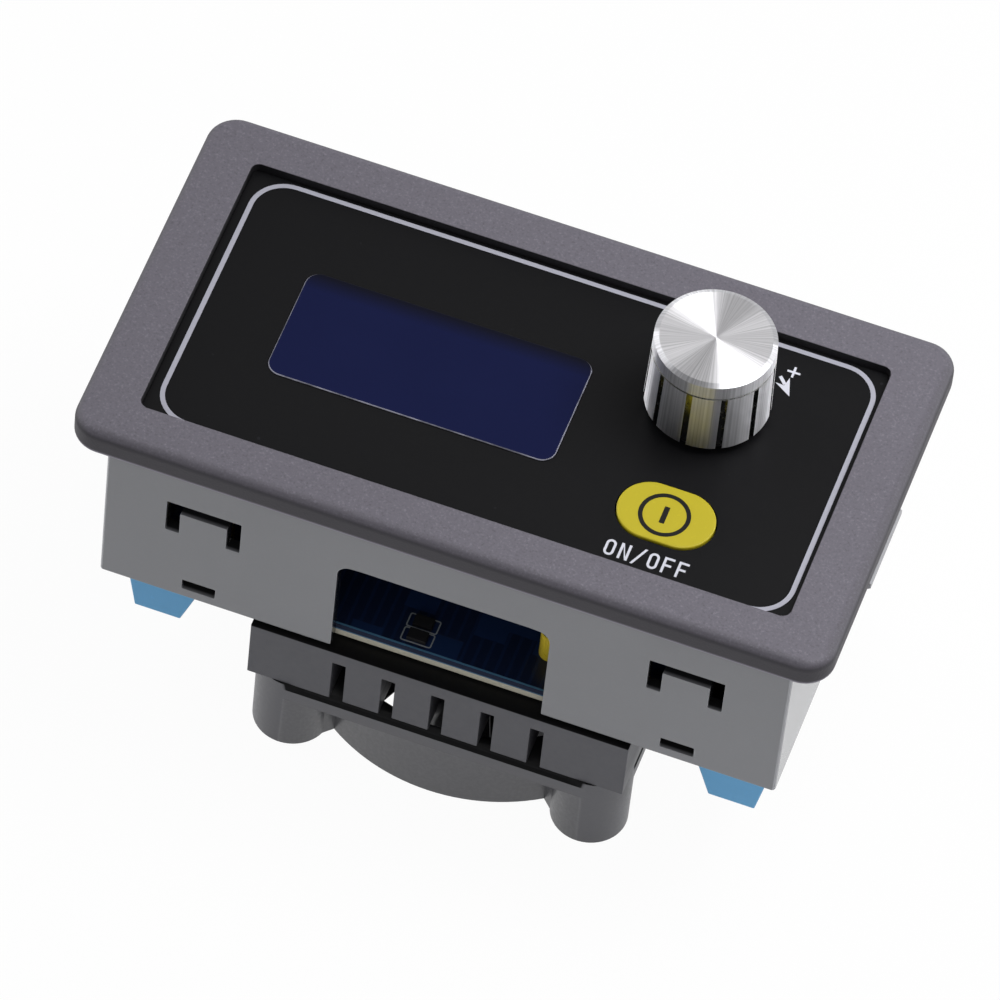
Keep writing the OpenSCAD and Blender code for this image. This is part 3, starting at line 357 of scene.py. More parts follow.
@dataclass(frozen=True)
class MouldedPlastic(Finish):
    """Plastic with a faint mottling, an uneven gloss and a fine moulded grain; a copy may darken its faces
    that point up as painted shade.
    """

    colour: Colour
    roughness: float = 0.45
    specular: float = 0.4
    mottle: float = 0.08
    grain_scale: float = 2600.0
    grain_depth: float = 0.008 * MM
    painted_top_shade: float = 1.0
    cloud_scale: float = 160.0
    fleck_shade: float = 1.25

    def paint(self, graph: Graph) -> None:
        """Adds mottling, flecks, grain and the painted shade on faces that point up.

        Args:
            graph: Graph of the material.
        """
        grain = graph.noise(self.grain_scale)
        tone = graph.varied(graph.noise(self.cloud_scale, 3.0), self.colour, 1 - self.mottle, 1 + self.mottle)
        flecks = graph.span(grain, 0.6, 0.8, 0.0, 0.35)
        sides = graph.layered(tone, self.colour, (flecks, self.fleck_shade))
        # Painted shade: faces that point up are darkened towards black, by a share of one minus the top
        # shade.
        top = graph.layered(sides, self.colour, (1 - self.painted_top_shade, 0.0))
        graph.set(
            Base_Color=graph.mix(graph.upward(), sides, top),
            Roughness=graph.span(grain, 0.2, 0.8, self.roughness - 0.06, self.roughness + 0.06),
            Specular_IOR_Level=self.specular,
            Normal=graph.bump(grain, self.grain_depth),
        )


@dataclass(frozen=True)
class CasePlastic(Finish):
    """Grey case moulding: spark-eroded grain on the bezel, smoother walls behind it."""

    bezel: Colour
    walls: Colour
    bezel_back: float
    body_half: Point
    recess_half: Point
    bezel_half: Point
    bezel_roughness: float = 0.6
    wall_roughness: float = 0.18
    grain_scale: float = 4200.0
    grain_depth: float = 0.03 * MM
    wall_depth: float = 0.003 * MM
    cloud_scale: float = 60.0
    fleck_shade: float = 1.45
    pit_shade: float = 0.74
    painted_rim_shade: float = 0.33
    back_highlight_factor: float = 1.9
    recess_shadow_shade: float = 0.07
    wall_fleck_shade: float = 1.3
    wall_edge_highlight: float = 1.6
    inside_shadow_shade: float = 0.08

    def _outside(self, graph: Graph, half: Point) -> Socket:
        """Tells how far a point lies outside an upright rectangle, below zero inside it.

        Args:
            graph: Graph of the material.
            half: Half the rectangle's width and height.

        Returns:
            The distance in metres.
        """
        across, up = (graph.math("ABSOLUTE", graph.axis(axis)) for axis in (Axis.X, Axis.Y))
        across, up = graph.math("SUBTRACT", across, half[0]), graph.math("SUBTRACT", up, half[1])
        return graph.math("MAXIMUM", across, up)

    def _shaded_side(self, graph: Graph) -> Socket:
        """Marks the bezel's face near its lower and right edge, where it turns away from the light.

        Args:
            graph: Graph of the material.

        Returns:
            One half at the edge, zero on the rest of the face.
        """
        across = graph.math("SUBTRACT", graph.axis(Axis.X), self.bezel_half[0])
        down = graph.math("SUBTRACT", graph.math("MULTIPLY", graph.axis(Axis.Y), -1.0), self.bezel_half[1])
        return graph.span(graph.math("MAXIMUM", across, down), -1.3 * MM, -0.4 * MM, 0.0, 0.5)

    def paint(self, graph: Graph) -> None:
        """Adds the bezel's grain, with painted shade on its rim and in its recess and a painted highlight
        along its back edge, and the walls with painted highlights on their edges and painted shade inside.

        Args:
            graph: Graph of the material.
        """
        height = graph.axis(Axis.Z)
        on_bezel = graph.span(height, self.bezel_back - 0.05 * MM, self.bezel_back)
        # Painted shade: the bezel's sides, and its face near the lower and right edge, are darkened.
        rim = graph.math("MAXIMUM", graph.span(graph.facing(Axis.Z), 0.97, 0.4), self._shaded_side(graph))
        # Painted highlight: a light line along the bezel's back edge, where its rounding catches light from
        # the floor.
        back_highlight = graph.span(height, self.bezel_back + 0.6 * MM, self.bezel_back + 0.3 * MM)
        # Painted shade: the walls of the recess round the sheet are darkened almost to black.
        in_recess = graph.span(self._outside(graph, self.recess_half), 0.06 * MM, 0.02 * MM)
        recess_shadow = graph.math("MULTIPLY", in_recess, graph.span(graph.facing(Axis.Z), 0.8, 0.5))
        # Painted shade: faces inside the body's outline, such as the inner sides of the walls, are darkened.
        inside_shadow = graph.span(self._outside(graph, self.body_half), -0.06 * MM, -0.5 * MM)
        grain = graph.noise(self.grain_scale)
        flecks = graph.span(grain, 0.56, 0.78)
        pits = graph.span(grain, 0.44, 0.24)
        bezel = graph.layered(
            self.bezel, self.bezel, (flecks, self.fleck_shade), (pits, self.pit_shade), (rim, self.painted_rim_shade),
            (back_highlight, self.back_highlight_factor), (recess_shadow, self.recess_shadow_shade),
        )
        # Painted highlight: the walls' rounded edges are lightened.
        walls = graph.layered(
            graph.varied(graph.noise(self.cloud_scale, 3.0), self.walls, 0.94, 1.06), self.walls,
            (graph.math("MULTIPLY", flecks, 0.12), self.wall_fleck_shade),
            (graph.edges(), self.wall_edge_highlight), (inside_shadow, self.inside_shadow_shade),
        )
        grained = graph.math("MULTIPLY", on_bezel, grain)
        graph.set(
            Base_Color=graph.mix(on_bezel, walls, bezel),
            Roughness=graph.span(on_bezel, 0.0, 1.0, self.wall_roughness, self.bezel_roughness),
            Specular_IOR_Level=0.35,
            Normal=graph.bump(grained, self.grain_depth, Normal=graph.bump(grain, self.wall_depth)),
        )


@dataclass(frozen=True)
class PrintedSheet(Finish):
    """Black front sheet with a satin face, faint cloudiness and a few specks."""

    colour: Colour
    cloud_scale: float = 40.0
    grain_scale: float = 5200.0
    speck_scale: float = 900.0
    speck_shade: float = 9.0

    def paint(self, graph: Graph) -> None:
        """Adds cloudiness, specks and grain.

        Args:
            graph: Graph of the material.
        """
        grain = graph.noise(self.grain_scale)
        specks = graph.span(graph.noise(self.speck_scale, 1.0), 0.79, 0.83, 0.0, 0.25)
        tone = graph.varied(graph.noise(self.cloud_scale, 3.0), self.colour, 0.9, 1.15)
        graph.set(
            Base_Color=graph.layered(tone, self.colour, (specks, self.speck_shade)),
            Roughness=graph.uneven(grain, 0.36, 0.46),
            Specular_IOR_Level=0.12,
            Normal=graph.bump(grain, 0.002 * MM),
        )


@dataclass(frozen=True)
class DisplayFilter(Finish):
    """Deep blue window of a display that is switched off, with a painted shadow below its top and a pale rim,
    a painted highlight that turns to painted shade near the top.
    """

    colour: Colour
    shaded: Colour
    rim: Colour
    top: float
    cloud_scale: float = 90.0
    sheen_noise_scale: float = 700.0

    def paint(self, graph: Graph) -> None:
        """Adds the field, the painted shadow below its top, and the rim with its painted highlight and
        painted shade.

        Args:
            graph: Graph of the material.
        """
        on_front = graph.span(graph.math("ABSOLUTE", graph.facing(Axis.Z)), 0.93, 0.99)
        below_top = graph.math("SUBTRACT", self.top, graph.axis(Axis.Y))
        cloud = graph.noise(self.cloud_scale, 3.0)
        tone = graph.varied(cloud, self.colour, 0.92, 1.1)
        # Painted shadow: the field darkens towards the window's top edge.
        tone = graph.mix(graph.span(below_top, 0.3 * MM, 2.2 * MM, 0.85, 0.0), tone, self.shaded)
        # Painted highlight: a pale rim on the lower and side edges, broken up by a noise; near the top and on
        # the steep sides it turns near-black, painted shade.
        wear_and_sheen = graph.span(graph.noise(self.sheen_noise_scale, 3.0), 0.3, 0.65, 0.35, 1.0)
        lower_rim_highlight = graph.math("MULTIPLY", wear_and_sheen, graph.span(below_top, 0.2 * MM, 1.2 * MM))
        rim_highlight = graph.math("MULTIPLY", lower_rim_highlight, graph.span(graph.facing(Axis.Z), 0.3, 0.5))
        graph.set(
            Base_Color=graph.mix(on_front, graph.varied(rim_highlight, self.rim, 0.03, 1.0), tone),
            Roughness=graph.uneven(cloud, 0.2, 0.28),
            Specular_IOR_Level=0.1,
        )


@dataclass(frozen=True)
class DisplayGlass(Finish):
    """Blue display that is switched off: deep blue field, darker towards its edge."""

    field_colour: Colour
    edge_colour: Colour
    middle: Vector
    half: Point
    cloud_scale: float = 90.0

    def paint(self, graph: Graph) -> None:
        """Adds the field and its edge.

        Args:
            graph: Graph of the material.
        """
        stretch = (1 / self.half[0], 1 / self.half[1], 0.0)
        split = graph.add("ShaderNodeSeparateXYZ", Vector=graph.moved(self.middle, stretch)).outputs
        across, up = (graph.math("ABSOLUTE", split[axis]) for axis in (Axis.X, Axis.Y))
        edge = graph.span(graph.math("MAXIMUM", across, up), 0.94, 1.02)
        cloud = graph.noise(self.cloud_scale, 3.0)
        graph.set(
            Base_Color=graph.mix(edge, graph.varied(cloud, self.field_colour, 0.92, 1.1), self.edge_colour),
            Roughness=graph.uneven(cloud, 0.2, 0.28),
            Specular_IOR_Level=0.2,
        )


@dataclass(frozen=True)
class TurnedMetal(Finish):
    """Bright metal with fine lines from turning; it reads the piece's lathe map."""

    colour: Colour
    centre: Vector
    roughness: float
    anisotropic: float
    line_scale: float = 2200.0
    line_depth: float = 0.0002 * MM
    line_wander: float = 1.5
    sheen_streaks: float = 30.0
    fine_scale: float = 1500.0

    def paint(self, graph: Graph) -> None:
        """Adds the turned lines and the painted sheen streaks that run out from the middle.

        Args:
            graph: Graph of the material.
        """
        place = graph.moved(self.centre)
        lines = graph.add("ShaderNodeTexWave", wave_type="RINGS", rings_direction="Z", Vector=place,
                          Scale=self.line_scale, Distortion=self.line_wander).outputs["Fac"]
        # Painted sheen: the colour is lighter and darker in thin streaks that run out from the middle,
        # standing in for the streaky reflections of spun metal.
        turn = graph.add("ShaderNodeTexGradient", gradient_type="RADIAL", Vector=place).outputs["Fac"]
        spokes = graph.math("MULTIPLY", turn, self.sheen_streaks)
        sheen_streak = graph.add("ShaderNodeTexNoise", noise_dimensions="1D", W=spokes).outputs["Fac"]
        fine = graph.noise(self.fine_scale, 3.0)
        graph.set(
            Base_Color=graph.varied(graph.uneven(sheen_streak, 0.0, 1.0), self.colour, 0.74, 1.02),
            Metallic=1.0,
            Roughness=graph.uneven(fine, self.roughness - 0.03, self.roughness + 0.03),
            Anisotropic=self.anisotropic,
            Tangent=graph.out("ShaderNodeTangent", direction_type="UV_MAP", uv_map=LATHE_MAP),
            Normal=graph.bump(lines, self.line_depth),
        )


@dataclass(frozen=True)
class PlatedMetal(Finish):
    """Plated or bare metal with uneven gloss, faint stains and fine scratches."""

    colour: Colour
    roughness: float = 0.3
    stain: float = 0.12
    stain_scale: float = 350.0
    scratch_scale: float = 500.0
    scratch_stretch: tuple[float, float, float] = (1.0, 14.0, 3.0)

    def paint(self, graph: Graph) -> None:
        """Adds stains and scratches.

        Args:
            graph: Graph of the material.
        """
        scratch = graph.noise(self.scratch_scale, 2.0, graph.moved(Vector(), self.scratch_stretch))
        stains = graph.noise(self.stain_scale, 4.0)
        graph.set(
            Base_Color=graph.varied(stains, self.colour, 1 - self.stain, 1 + self.stain / 2),
            Metallic=1.0,
            Roughness=graph.uneven(scratch, self.roughness - 0.08, self.roughness + 0.1),
            Normal=graph.bump(scratch, 0.003 * MM),
        )


@dataclass(frozen=True)
class SolderMask(Finish):
    """Board with coloured solder mask over copper areas, and bare glass fibre on its cut edge."""

    mask: Colour
    over_copper: Colour
    fibre: Colour
    track: Colour
    bare_top: float
    area_scale: float = 190.0
    track_scale: float = 260.0
    weave_scale: float = 2200.0
    weave_stretch: tuple[float, float, float] = (1.0, 1.0, 6.0)

    def paint(self, graph: Graph) -> None:
        """Adds the mask with its copper, and the layers of the edge.

        Args:
            graph: Graph of the material.
        """
        flat = graph.span(graph.math("ABSOLUTE", graph.facing(Axis.Z)), 0.5, 0.7)
        areas = graph.add("ShaderNodeTexVoronoi", distance="CHEBYCHEV", feature="F1", Vector=graph.place,
                          Scale=self.area_scale).outputs["Distance"]
        tracks = graph.add("ShaderNodeTexWave", wave_type="BANDS", bands_direction="X", Vector=graph.place,
                           Scale=self.track_scale).outputs["Fac"]
        copper = graph.math("MAXIMUM", graph.span(areas, 0.3, 0.32, 1.0, 0.0),
                            graph.span(tracks, 0.8, 0.85, 0.0, 0.5))
        weave = graph.noise(self.weave_scale, 2.0, graph.moved(Vector(), self.weave_stretch))
        edge = graph.varied(graph.uneven(weave, 0.0, 1.0), self.fibre, 0.72, 1.0)
        height = graph.math("SUBTRACT", graph.axis(Axis.Z), self.bare_top)
        edge = graph.mix(graph.span(height, -0.03 * MM, 0.03 * MM), edge, self.track)
        edge = graph.mix(graph.span(height, 0.15 * MM, 0.21 * MM), edge, self.mask)
        graph.set(
            Base_Color=graph.mix(flat, edge, graph.mix(copper, self.mask, self.over_copper)),
            Roughness=graph.span(flat, 0.0, 1.0, 0.75, 0.3),
            Specular_IOR_Level=0.45,
            Normal=graph.bump(graph.math("MULTIPLY", copper, flat), 0.02 * MM),
        )


@dataclass(frozen=True)
class AnodisedMetal(Finish):
    """Dark anodised metal with the fine lines that drawing through a die leaves."""

    colour: Colour
    roughness: float = 0.5
    cloud_scale: float = 120.0
    line_scale: float = 1400.0
    line_stretch: tuple[float, float, float] = (1.0, 0.03, 1.0)
    line_shade: float = 1.18
    painted_top_shade: float = 0.06

    def paint(self, graph: Graph) -> None:
        """Adds the drawn lines, and painted shade on the faces that point up, which lie under the board.

        Args:
            graph: Graph of the material.
        """
        drawn = graph.noise(self.line_scale, 3.0, graph.moved(Vector(), self.line_stretch))
        tone = graph.varied(graph.noise(self.cloud_scale, 3.0), self.colour, 0.9, 1.1)
        lines = (graph.uneven(drawn, 0.0, 0.4), self.line_shade)
        # Painted shade: faces that point up are darkened almost to black, where the board and case shade
        # them.
        graph.set(
            Base_Color=graph.layered(tone, self.colour, lines, (graph.upward(), self.painted_top_shade)),
            Metallic=0.25,
            Roughness=graph.uneven(drawn, self.roughness - 0.06, self.roughness + 0.08),
            Specular_IOR_Level=0.4,
            Normal=graph.bump(drawn, 0.004 * MM),
        )


@dataclass(frozen=True)
class Ink(Finish):
    """Screen-printed ink with small gaps and thin spots."""

    colour: Colour
    wear_and_sheen: float = 0.25
    gap_scale: float = 2600.0
    gap_shade: float = 0.45

    def paint(self, graph: Graph) -> None:
        """Adds the thin spots.

        Args:
            graph: Graph of the material.
        """
        thin = graph.noise(self.gap_scale, 3.0)
        gaps = graph.span(thin, 0.55, 0.8, 0.0, self.wear_and_sheen)
        graph.set(
            Base_Color=graph.layered(self.colour, self.colour, (gaps, self.gap_shade)),
            Roughness=graph.uneven(thin, 0.5, 0.6),
            Specular_IOR_Level=0.2,
        )


@dataclass(frozen=True)
class CanMetal(Finish):
    """Capacitor can of bare metal that stands on a black base."""

    metal: Colour
    base: Colour
    base_top: float
    cloud_scale: float = 300.0

    def paint(self, graph: Graph) -> None:
        """Adds the metal above the base.

        Args:
            graph: Graph of the material.
        """
        is_can = graph.span(graph.axis(Axis.Z), self.base_top - 0.02 * MM, self.base_top + 0.02 * MM)
        cloud = graph.noise(self.cloud_scale, 3.0)
        graph.set(
            Base_Color=graph.mix(is_can, self.base, graph.varied(cloud, self.metal, 0.9, 1.05)),
            Metallic=is_can,
            Roughness=graph.uneven(cloud, 0.3, 0.42),
        )


BODY_HALF = (35.75 * MM, 19.35 * MM)
RECESS_GAP = 0.1 * MM
RECESS_HALF = tuple(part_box("front_overlay")[1][axis] + RECESS_GAP for axis in (Axis.X, Axis.Y))
BEZEL_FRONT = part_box("case_shell")[1].z
BARE_EDGE = 0.8 * MM
CAN_BASE = 0.9 * MM

# The walls get a lighter grey than the bezel: partly their own tone, partly a painted reflection of the white
# floor in their gloss.
CASE = CasePlastic("case_plastic", srgb(99, 96, 105), srgb(126, 127, 131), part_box("display_window")[0].z,
                   BODY_HALF, RECESS_HALF, tuple(CAD_BOX[1])[:2])
SHEET = PrintedSheet("front_sheet", srgb(14, 14, 16))
# The display window's field, its painted top shadow and its pale rim, a painted highlight.
PANE = DisplayFilter("display_filter", srgb(15, 21, 58), srgb(11, 11, 17), srgb(150, 150, 164),
                     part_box("display_window")[1].y)
WHITE_PLASTIC = MouldedPlastic("white_plastic", srgb(228, 228, 222), 0.4)
DARK_PLASTIC = MouldedPlastic("dark_plastic", srgb(32, 32, 34))
KEY_PLASTIC = MouldedPlastic("key_plastic", srgb(180, 166, 35), 0.42, 0.3, 0.06, 1800.0)
CHIP_RESIN = MouldedPlastic("chip_resin", srgb(30, 30, 32), 0.6, 0.3)
YELLOW_RESIN = MouldedPlastic("yellow_resin", srgb(222, 198, 58), 0.3, 0.5)
TERMINAL_PLASTIC = MouldedPlastic("terminal_plastic", srgb(92, 162, 210), 0.42, 0.4, 0.05)
PAD = MouldedPlastic("soft_pad", srgb(176, 178, 184), 0.75, 0.2)
FAN_PLASTIC = MouldedPlastic("fan_plastic", srgb(82, 82, 87), 0.4, 0.45, 0.06)
# The fan frame's copy darkens its faces that point up, the ledges under the heatsink, to a tenth: painted
# shade.
TOP_SHADED_FRAME_PLASTIC = MouldedPlastic("frame_plastic_top_shaded", srgb(82, 82, 87), 0.4, 0.45, 0.06, painted_top_shade=0.1)
# The wing lips take a lighter copy of the case's grey: painted highlight.
LIT_WING_PLASTIC = MouldedPlastic("wing_plastic_lit", srgb(150, 150, 154))
STEEL = PlatedMetal("plated_steel", srgb(205, 205, 206))
TINNED = PlatedMetal("tinned_metal", srgb(206, 206, 202), 0.38)
BRASS = PlatedMetal("bare_brass", srgb(208, 180, 96), 0.28)
COPPER = PlatedMetal("copper_alloy", srgb(196, 132, 84), 0.35)
MAGNET = PlatedMetal("magnet_iron", srgb(96, 96, 100), 0.55)
SOLDER = PlatedMetal("solder", srgb(214, 214, 212), 0.25)
# The heatsink's faces that point up get painted shade.
ANODISED = AnodisedMetal("anodised_metal", srgb(80, 80, 85))
CAN_METAL = CanMetal("can_metal", srgb(206, 206, 210), srgb(24, 24, 26),
                     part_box("electrolytic_capacitors")[0].z + CAN_BASE)
BOARD = SolderMask("board_mask", srgb(20, 31, 58), srgb(26, 46, 84), srgb(214, 210, 192), srgb(66, 106, 140),
                   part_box("rear_board")[0].z + BARE_EDGE)
FAN_BOARD = SolderMask("fan_board_mask", srgb(20, 84, 46), srgb(34, 112, 62), srgb(196, 194, 160),
                       srgb(34, 112, 62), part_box("fan_board")[1].z)
WHITE_INK = Ink("white_ink", srgb(205, 206, 216))
BORDER_INK = Ink("border_ink", srgb(168, 168, 180), 0.1)
BLACK_INK = Ink("black_ink", srgb(16, 16, 14), 0.0)
SILK_INK = Ink("silk_ink", srgb(150, 156, 160), 0.5)
TRACK_INK = Ink("track_line", srgb(84, 130, 164), 0.3)

MATERIALS: dict[str, bpy.types.Material] = {}


def made(finish: Finish) -> bpy.types.Material:
    """Builds a finish once and gives the same material again later.

    Args:
        finish: Finish.

    Returns:
        Its material.
    """
    if finish.name not in MATERIALS:
        MATERIALS[finish.name] = finish.make()
    return MATERIALS[finish.name]


def coat(finish: Finish, *nodes: str) -> None:
    """Gives nodes of the frame a finish.

    Args:
        finish: Finish for all their faces.
        *nodes: Names of the nodes.
    """
    for node in nodes:
        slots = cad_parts[node].material_slots
        if not slots:
            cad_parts[node].data.materials.append(made(finish))
        for slot in slots:
            slot.material = made(finish)


def linked(name: str, data: bpy.types.ID) -> bpy.types.Object:
    """Adds an object to the scene.

    Args:
        name: Name of the object.
        data: Its mesh, lamp or camera.

    Returns:
        The object.
    """
    thing = bpy.data.objects.new(name, data)
    bpy.context.scene.collection.objects.link(thing)
    return thing


def piece(name: str, mesh: bpy.types.Mesh, body: Body, slot: Slot, *nodes: str) -> None:
    """Adds a finished mesh to the scene as a piece of the object.

    Args:
        name: Name of the piece.
        mesh: Mesh in its place, with its materials.
        body: Body that it rides on.
        slot: Slot that its finish belongs to; not used.
        *nodes: Nodes of the frame that it stands for.
    """
    thing = linked(name, mesh)
    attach(thing, body.value)
    if nodes:
        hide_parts(*nodes)
    LOG.info("%s: %d faces, rides on %s", name, len(mesh.polygons), body.value)


def mesh_of(name: str, work: bmesh.types.BMesh, *finishes: Finish) -> bpy.types.Mesh:
    """Turns a worked mesh into mesh data with its materials.

    Args:
        name: Name of the mesh.
        work: Worked mesh, which is freed.
        *finishes: Finishes in the order of its material indices.

    Returns:
        The mesh.
    """
    mesh = bpy.data.meshes.new(name)
    work.to_mesh(mesh)
    work.free()
    for finish in finishes:
        mesh.materials.append(made(finish))
    return mesh


def smooth(mesh: bpy.types.Mesh, degrees: float = SMOOTH_ANGLE) -> bpy.types.Mesh:
    """Shades a mesh smooth, apart from edges sharper than an angle.

    Args:
        mesh: Mesh.
        degrees: The angle.

    Returns:
        The same mesh.
    """
    mesh.shade_smooth()
    mesh.set_sharp_from_angle(angle=math.radians(degrees))
    return mesh


def evaluated(thing: bpy.types.Object, name: str) -> bpy.types.Mesh:
    """Turns an object with modifiers into a plain mesh and removes the object.

    Args:
        thing: Object at the origin.
        name: Name of the mesh.

    Returns:
        The plain mesh.
    """
    graph = bpy.context.evaluated_depsgraph_get()
    mesh = bpy.data.meshes.new_from_object(thing.evaluated_get(graph), depsgraph=graph)
    mesh.name = name
    thing.modifiers.clear()
    bpy.data.objects.remove(thing)
    return mesh


def merged(node: str) -> bmesh.types.BMesh:
    """Copies a node's mesh and merges its loose triangles.

    Args:
        node: Name of the node.

    Returns:
        The merged copy.
    """
    work = bmesh.new()
    work.from_mesh(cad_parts[node].data)
    bmesh.ops.remove_doubles(work, verts=work.verts, dist=MERGE_GAP)
    return work


def solids(node: str) -> list[Box]:
    """Lists the boxes of a node's separate solids.

    Args:
        node: Name of the node.

    Returns:
        Lowest and highest corner of each solid, in a fixed order.
    """
    work = merged(node)
    left = set(work.verts)
    boxes = []
    while left:
        group = {left.pop()}
        edge = list(group)
        while edge:
            near = {e.other_vert(v) for v in edge for e in v.link_edges} - group
            group |= near
            edge = list(near)
        left -= group
        boxes.append(tuple(Vector(end(v.co[axis] for v in group) for axis in Axis) for end in (min, max)))
    work.free()
    return sorted(boxes, key=lambda box: tuple(round(c, 6) for c in box[0]))


def softened(node: str, radius: float, finish: Finish, slot: Slot) -> None:
    """Makes a piece from a node of the case whose sharp edges are rounded, as a moulded or cut edge is.

    Args:
        node: Node that it stands for.
        radius: Width of the rounding in metres.
        finish: Finish of the piece.
        slot: Slot that its finish belongs to.
    """
    name = node + "_soft"
    thing = linked(node + "_work", mesh_of(node + "_work", merged(node), finish))
    edge = thing.modifiers.new("edges", "BEVEL")
    edge.width = radius
    edge.segments = SOFT_STEPS
    edge.limit_method = "ANGLE"
    edge.angle_limit = math.radians(SOFT_ANGLE)
    edge.use_clamp_overlap = False
    edge.miter_outer = "MITER_ARC"
    thing.data.shade_smooth()
    flat = thing.modifiers.new("flat_faces", "WEIGHTED_NORMAL")
    flat.mode = "FACE_AREA"
    flat.weight = 100
    piece(name, evaluated(thing, name), Body.CASE, slot, node)


def smoothed(node: str, finish: Finish, body: Body, slot: Slot) -> None:
    """Makes a piece from a node whose curved faces are shaded smooth."""
    name = node + "_smooth"
    piece(name, smooth(mesh_of(name, merged(node), finish), SOFT_ANGLE), body, slot, node)


def arc(centre: Point, radius: float, start: float, end: float, steps: int) -> list[Point]:
    """Lists the points of an arc between two angles in degrees, both ends included."""
    turns = [math.radians(start + (end - start) * i / steps) for i in range(steps + 1)]
    return [(centre[0] + radius * math.cos(t), centre[1] + radius * math.sin(t)) for t in turns]


def round_rect(centre: Point, width: float, height: float, radius: float, steps: int = 12) -> list[Point]:
    """Lists the outline of a rectangle with round corners.

    Args:
        centre: Middle of the rectangle.
        width: Full width.
        height: Full height.
        radius: Corner radius.
        steps: Stretches in each corner.

    Returns:
        The outline, anticlockwise.
    """
    x, y = width / 2 - radius, height / 2 - radius
    outline = []
    for quarter, (i, j) in enumerate(QUARTERS):
        middle = (centre[0] + i * x, centre[1] + j * y)
        outline += arc(middle, radius, 90 * quarter, 90 * quarter + 90, steps)
    return outline


class Print:
    """Marks of one thickness that are laid on a flat face, with outlines given in millimetres."""

    def __init__(self, base: float, thickness: float = 0.015 * MM) -> None:
        """Starts an empty print.

        Args:
            base: Height of the face in metres.
            thickness: Thickness of the ink.
        """
        self.work = bmesh.new()
        self.base = base
        self.top = base + thickness

    def _loops(self, outline: list[Point]) -> tuple[list[bmesh.types.BMVert], list[bmesh.types.BMVert]]:
        """Adds an outline's points at the lower and the upper height."""
        new = self.work.verts.new
        return tuple([new((x * MM, y * MM, height)) for x, y in outline] for height in (self.base, self.top))

    def _wall(self, low: list[bmesh.types.BMVert], high: list[bmesh.types.BMVert]) -> None:
        """Joins two loops of equal length by a band of faces.

        Args:
            low: First loop.
            high: Second loop.
        """
        for i, vertex in enumerate(low):
            after = (i + 1) % len(low)
            self.work.faces.new((vertex, low[after], high[after], high[i]))

    def shape(self, outline: list[Point]) -> None:
        """Prints a filled outline.

        Args:
            outline: Its points, anticlockwise.
        """
        low, high = self._loops(outline)
        self.work.faces.new(high)
        self.work.faces.new(low[::-1])
        self._wall(low, high)

    def ring(self, outer: list[Point], inner: list[Point]) -> None:
        """Prints the band between two outlines.

        Args:
            outer: Outer outline.
            inner: Inner outline with as many points.
        """
        outer_low, outer_high = self._loops(outer)
        inner_low, inner_high = self._loops(inner)
        self._wall(outer_low, outer_high)
        self._wall(inner_high, inner_low)
        self._wall(outer_high, inner_high)
        self._wall(inner_low, outer_low)

    def stroke(self, middle: list[Point], width: float) -> None:
        """Prints a line along a path.

        Args:
            middle: Points of the path.
            width: Width of the line.
        """
        left, right = [], []
        for i, (x, y) in enumerate(middle):
            before, after = middle[max(i - 1, 0)], middle[min(i + 1, len(middle) - 1)]
            along = Vector((after[0] - before[0], after[1] - before[1])).normalized() * width / 2
            left.append((x - along.y, y + along.x))
            right.append((x + along.y, y - along.x))
        self.shape(right + left[::-1])

    def mesh(self, name: str, finish: Finish) -> bpy.types.Mesh:
        """Gives the printed mesh in one finish."""
        bmesh.ops.recalc_face_normals(self.work, faces=self.work.faces)
        return mesh_of(name, self.work, finish)

    def lay(self, name: str, finish: Finish, slot: Slot, body: Body = Body.CASE) -> None:
        """Makes the print a piece of the object."""
        piece(name, self.mesh(name, finish), body, slot)


@dataclass
class Lettering:
    """Plain stroke letters for the words beside the key, in millimetres."""

    height: float = 1.95
    width: float = 1.05
    line: float = 0.26
    pitch: float = 1.49
    diagonal: float = 1.45
    arm: float = 0.85
    lean: float = 0.1
    overshoot: float = 0.05

    def _outline(self, sign: str) -> list[Point]:
        """Gives the outline of a letter without a hole.

        Args:
            sign: N, F or a stroke.

        Returns:
            Its points from the lower left corner, anticlockwise.
        """
        w, h, s = self.width, self.height, self.line
        if sign == "N":
            drop = self.diagonal * s
            return [(0, 0), (s, 0), (s, h - drop), (w - s, 0), (w, 0), (w, h), (w - s, h), (w - s, drop),
                    (s, h), (0, h)]
        if sign == "F":
            low, high, reach = (h - s) / 2, (h + s) / 2, self.arm * w
            return [(0, 0), (s, 0), (s, low), (reach, low), (reach, high), (s, high), (s, h - s), (w, h - s),
                    (w, h), (0, h)]
        left, right = -self.lean * w, (1 + self.lean) * w
        bottom, top = -self.overshoot * h, (1 + self.overshoot) * h
        return [(left, bottom), (left + s, bottom), (right, top), (right - s, top)]

    def word(self, text: str, ink: Print, left: float, base: float) -> None:
        """Prints a word.

        Args:
            text: Word of the letters O, N and F and of strokes.
            ink: Print that it is added to.
            left: Left edge.
            base: Lower edge.
        """
        w, h, s = self.width, self.height, self.line
        for index, sign in enumerate(text):
            start = left + index * self.pitch
            if sign == "O":
                middle = (start + w / 2, base + h / 2)
                ink.ring(round_rect(middle, w, h, w / 2), round_rect(middle, w - 2 * s, h - 2 * s, w / 2 - s))
            else:
                ink.shape([(start + x, base + y) for x, y in self._outline(sign)])


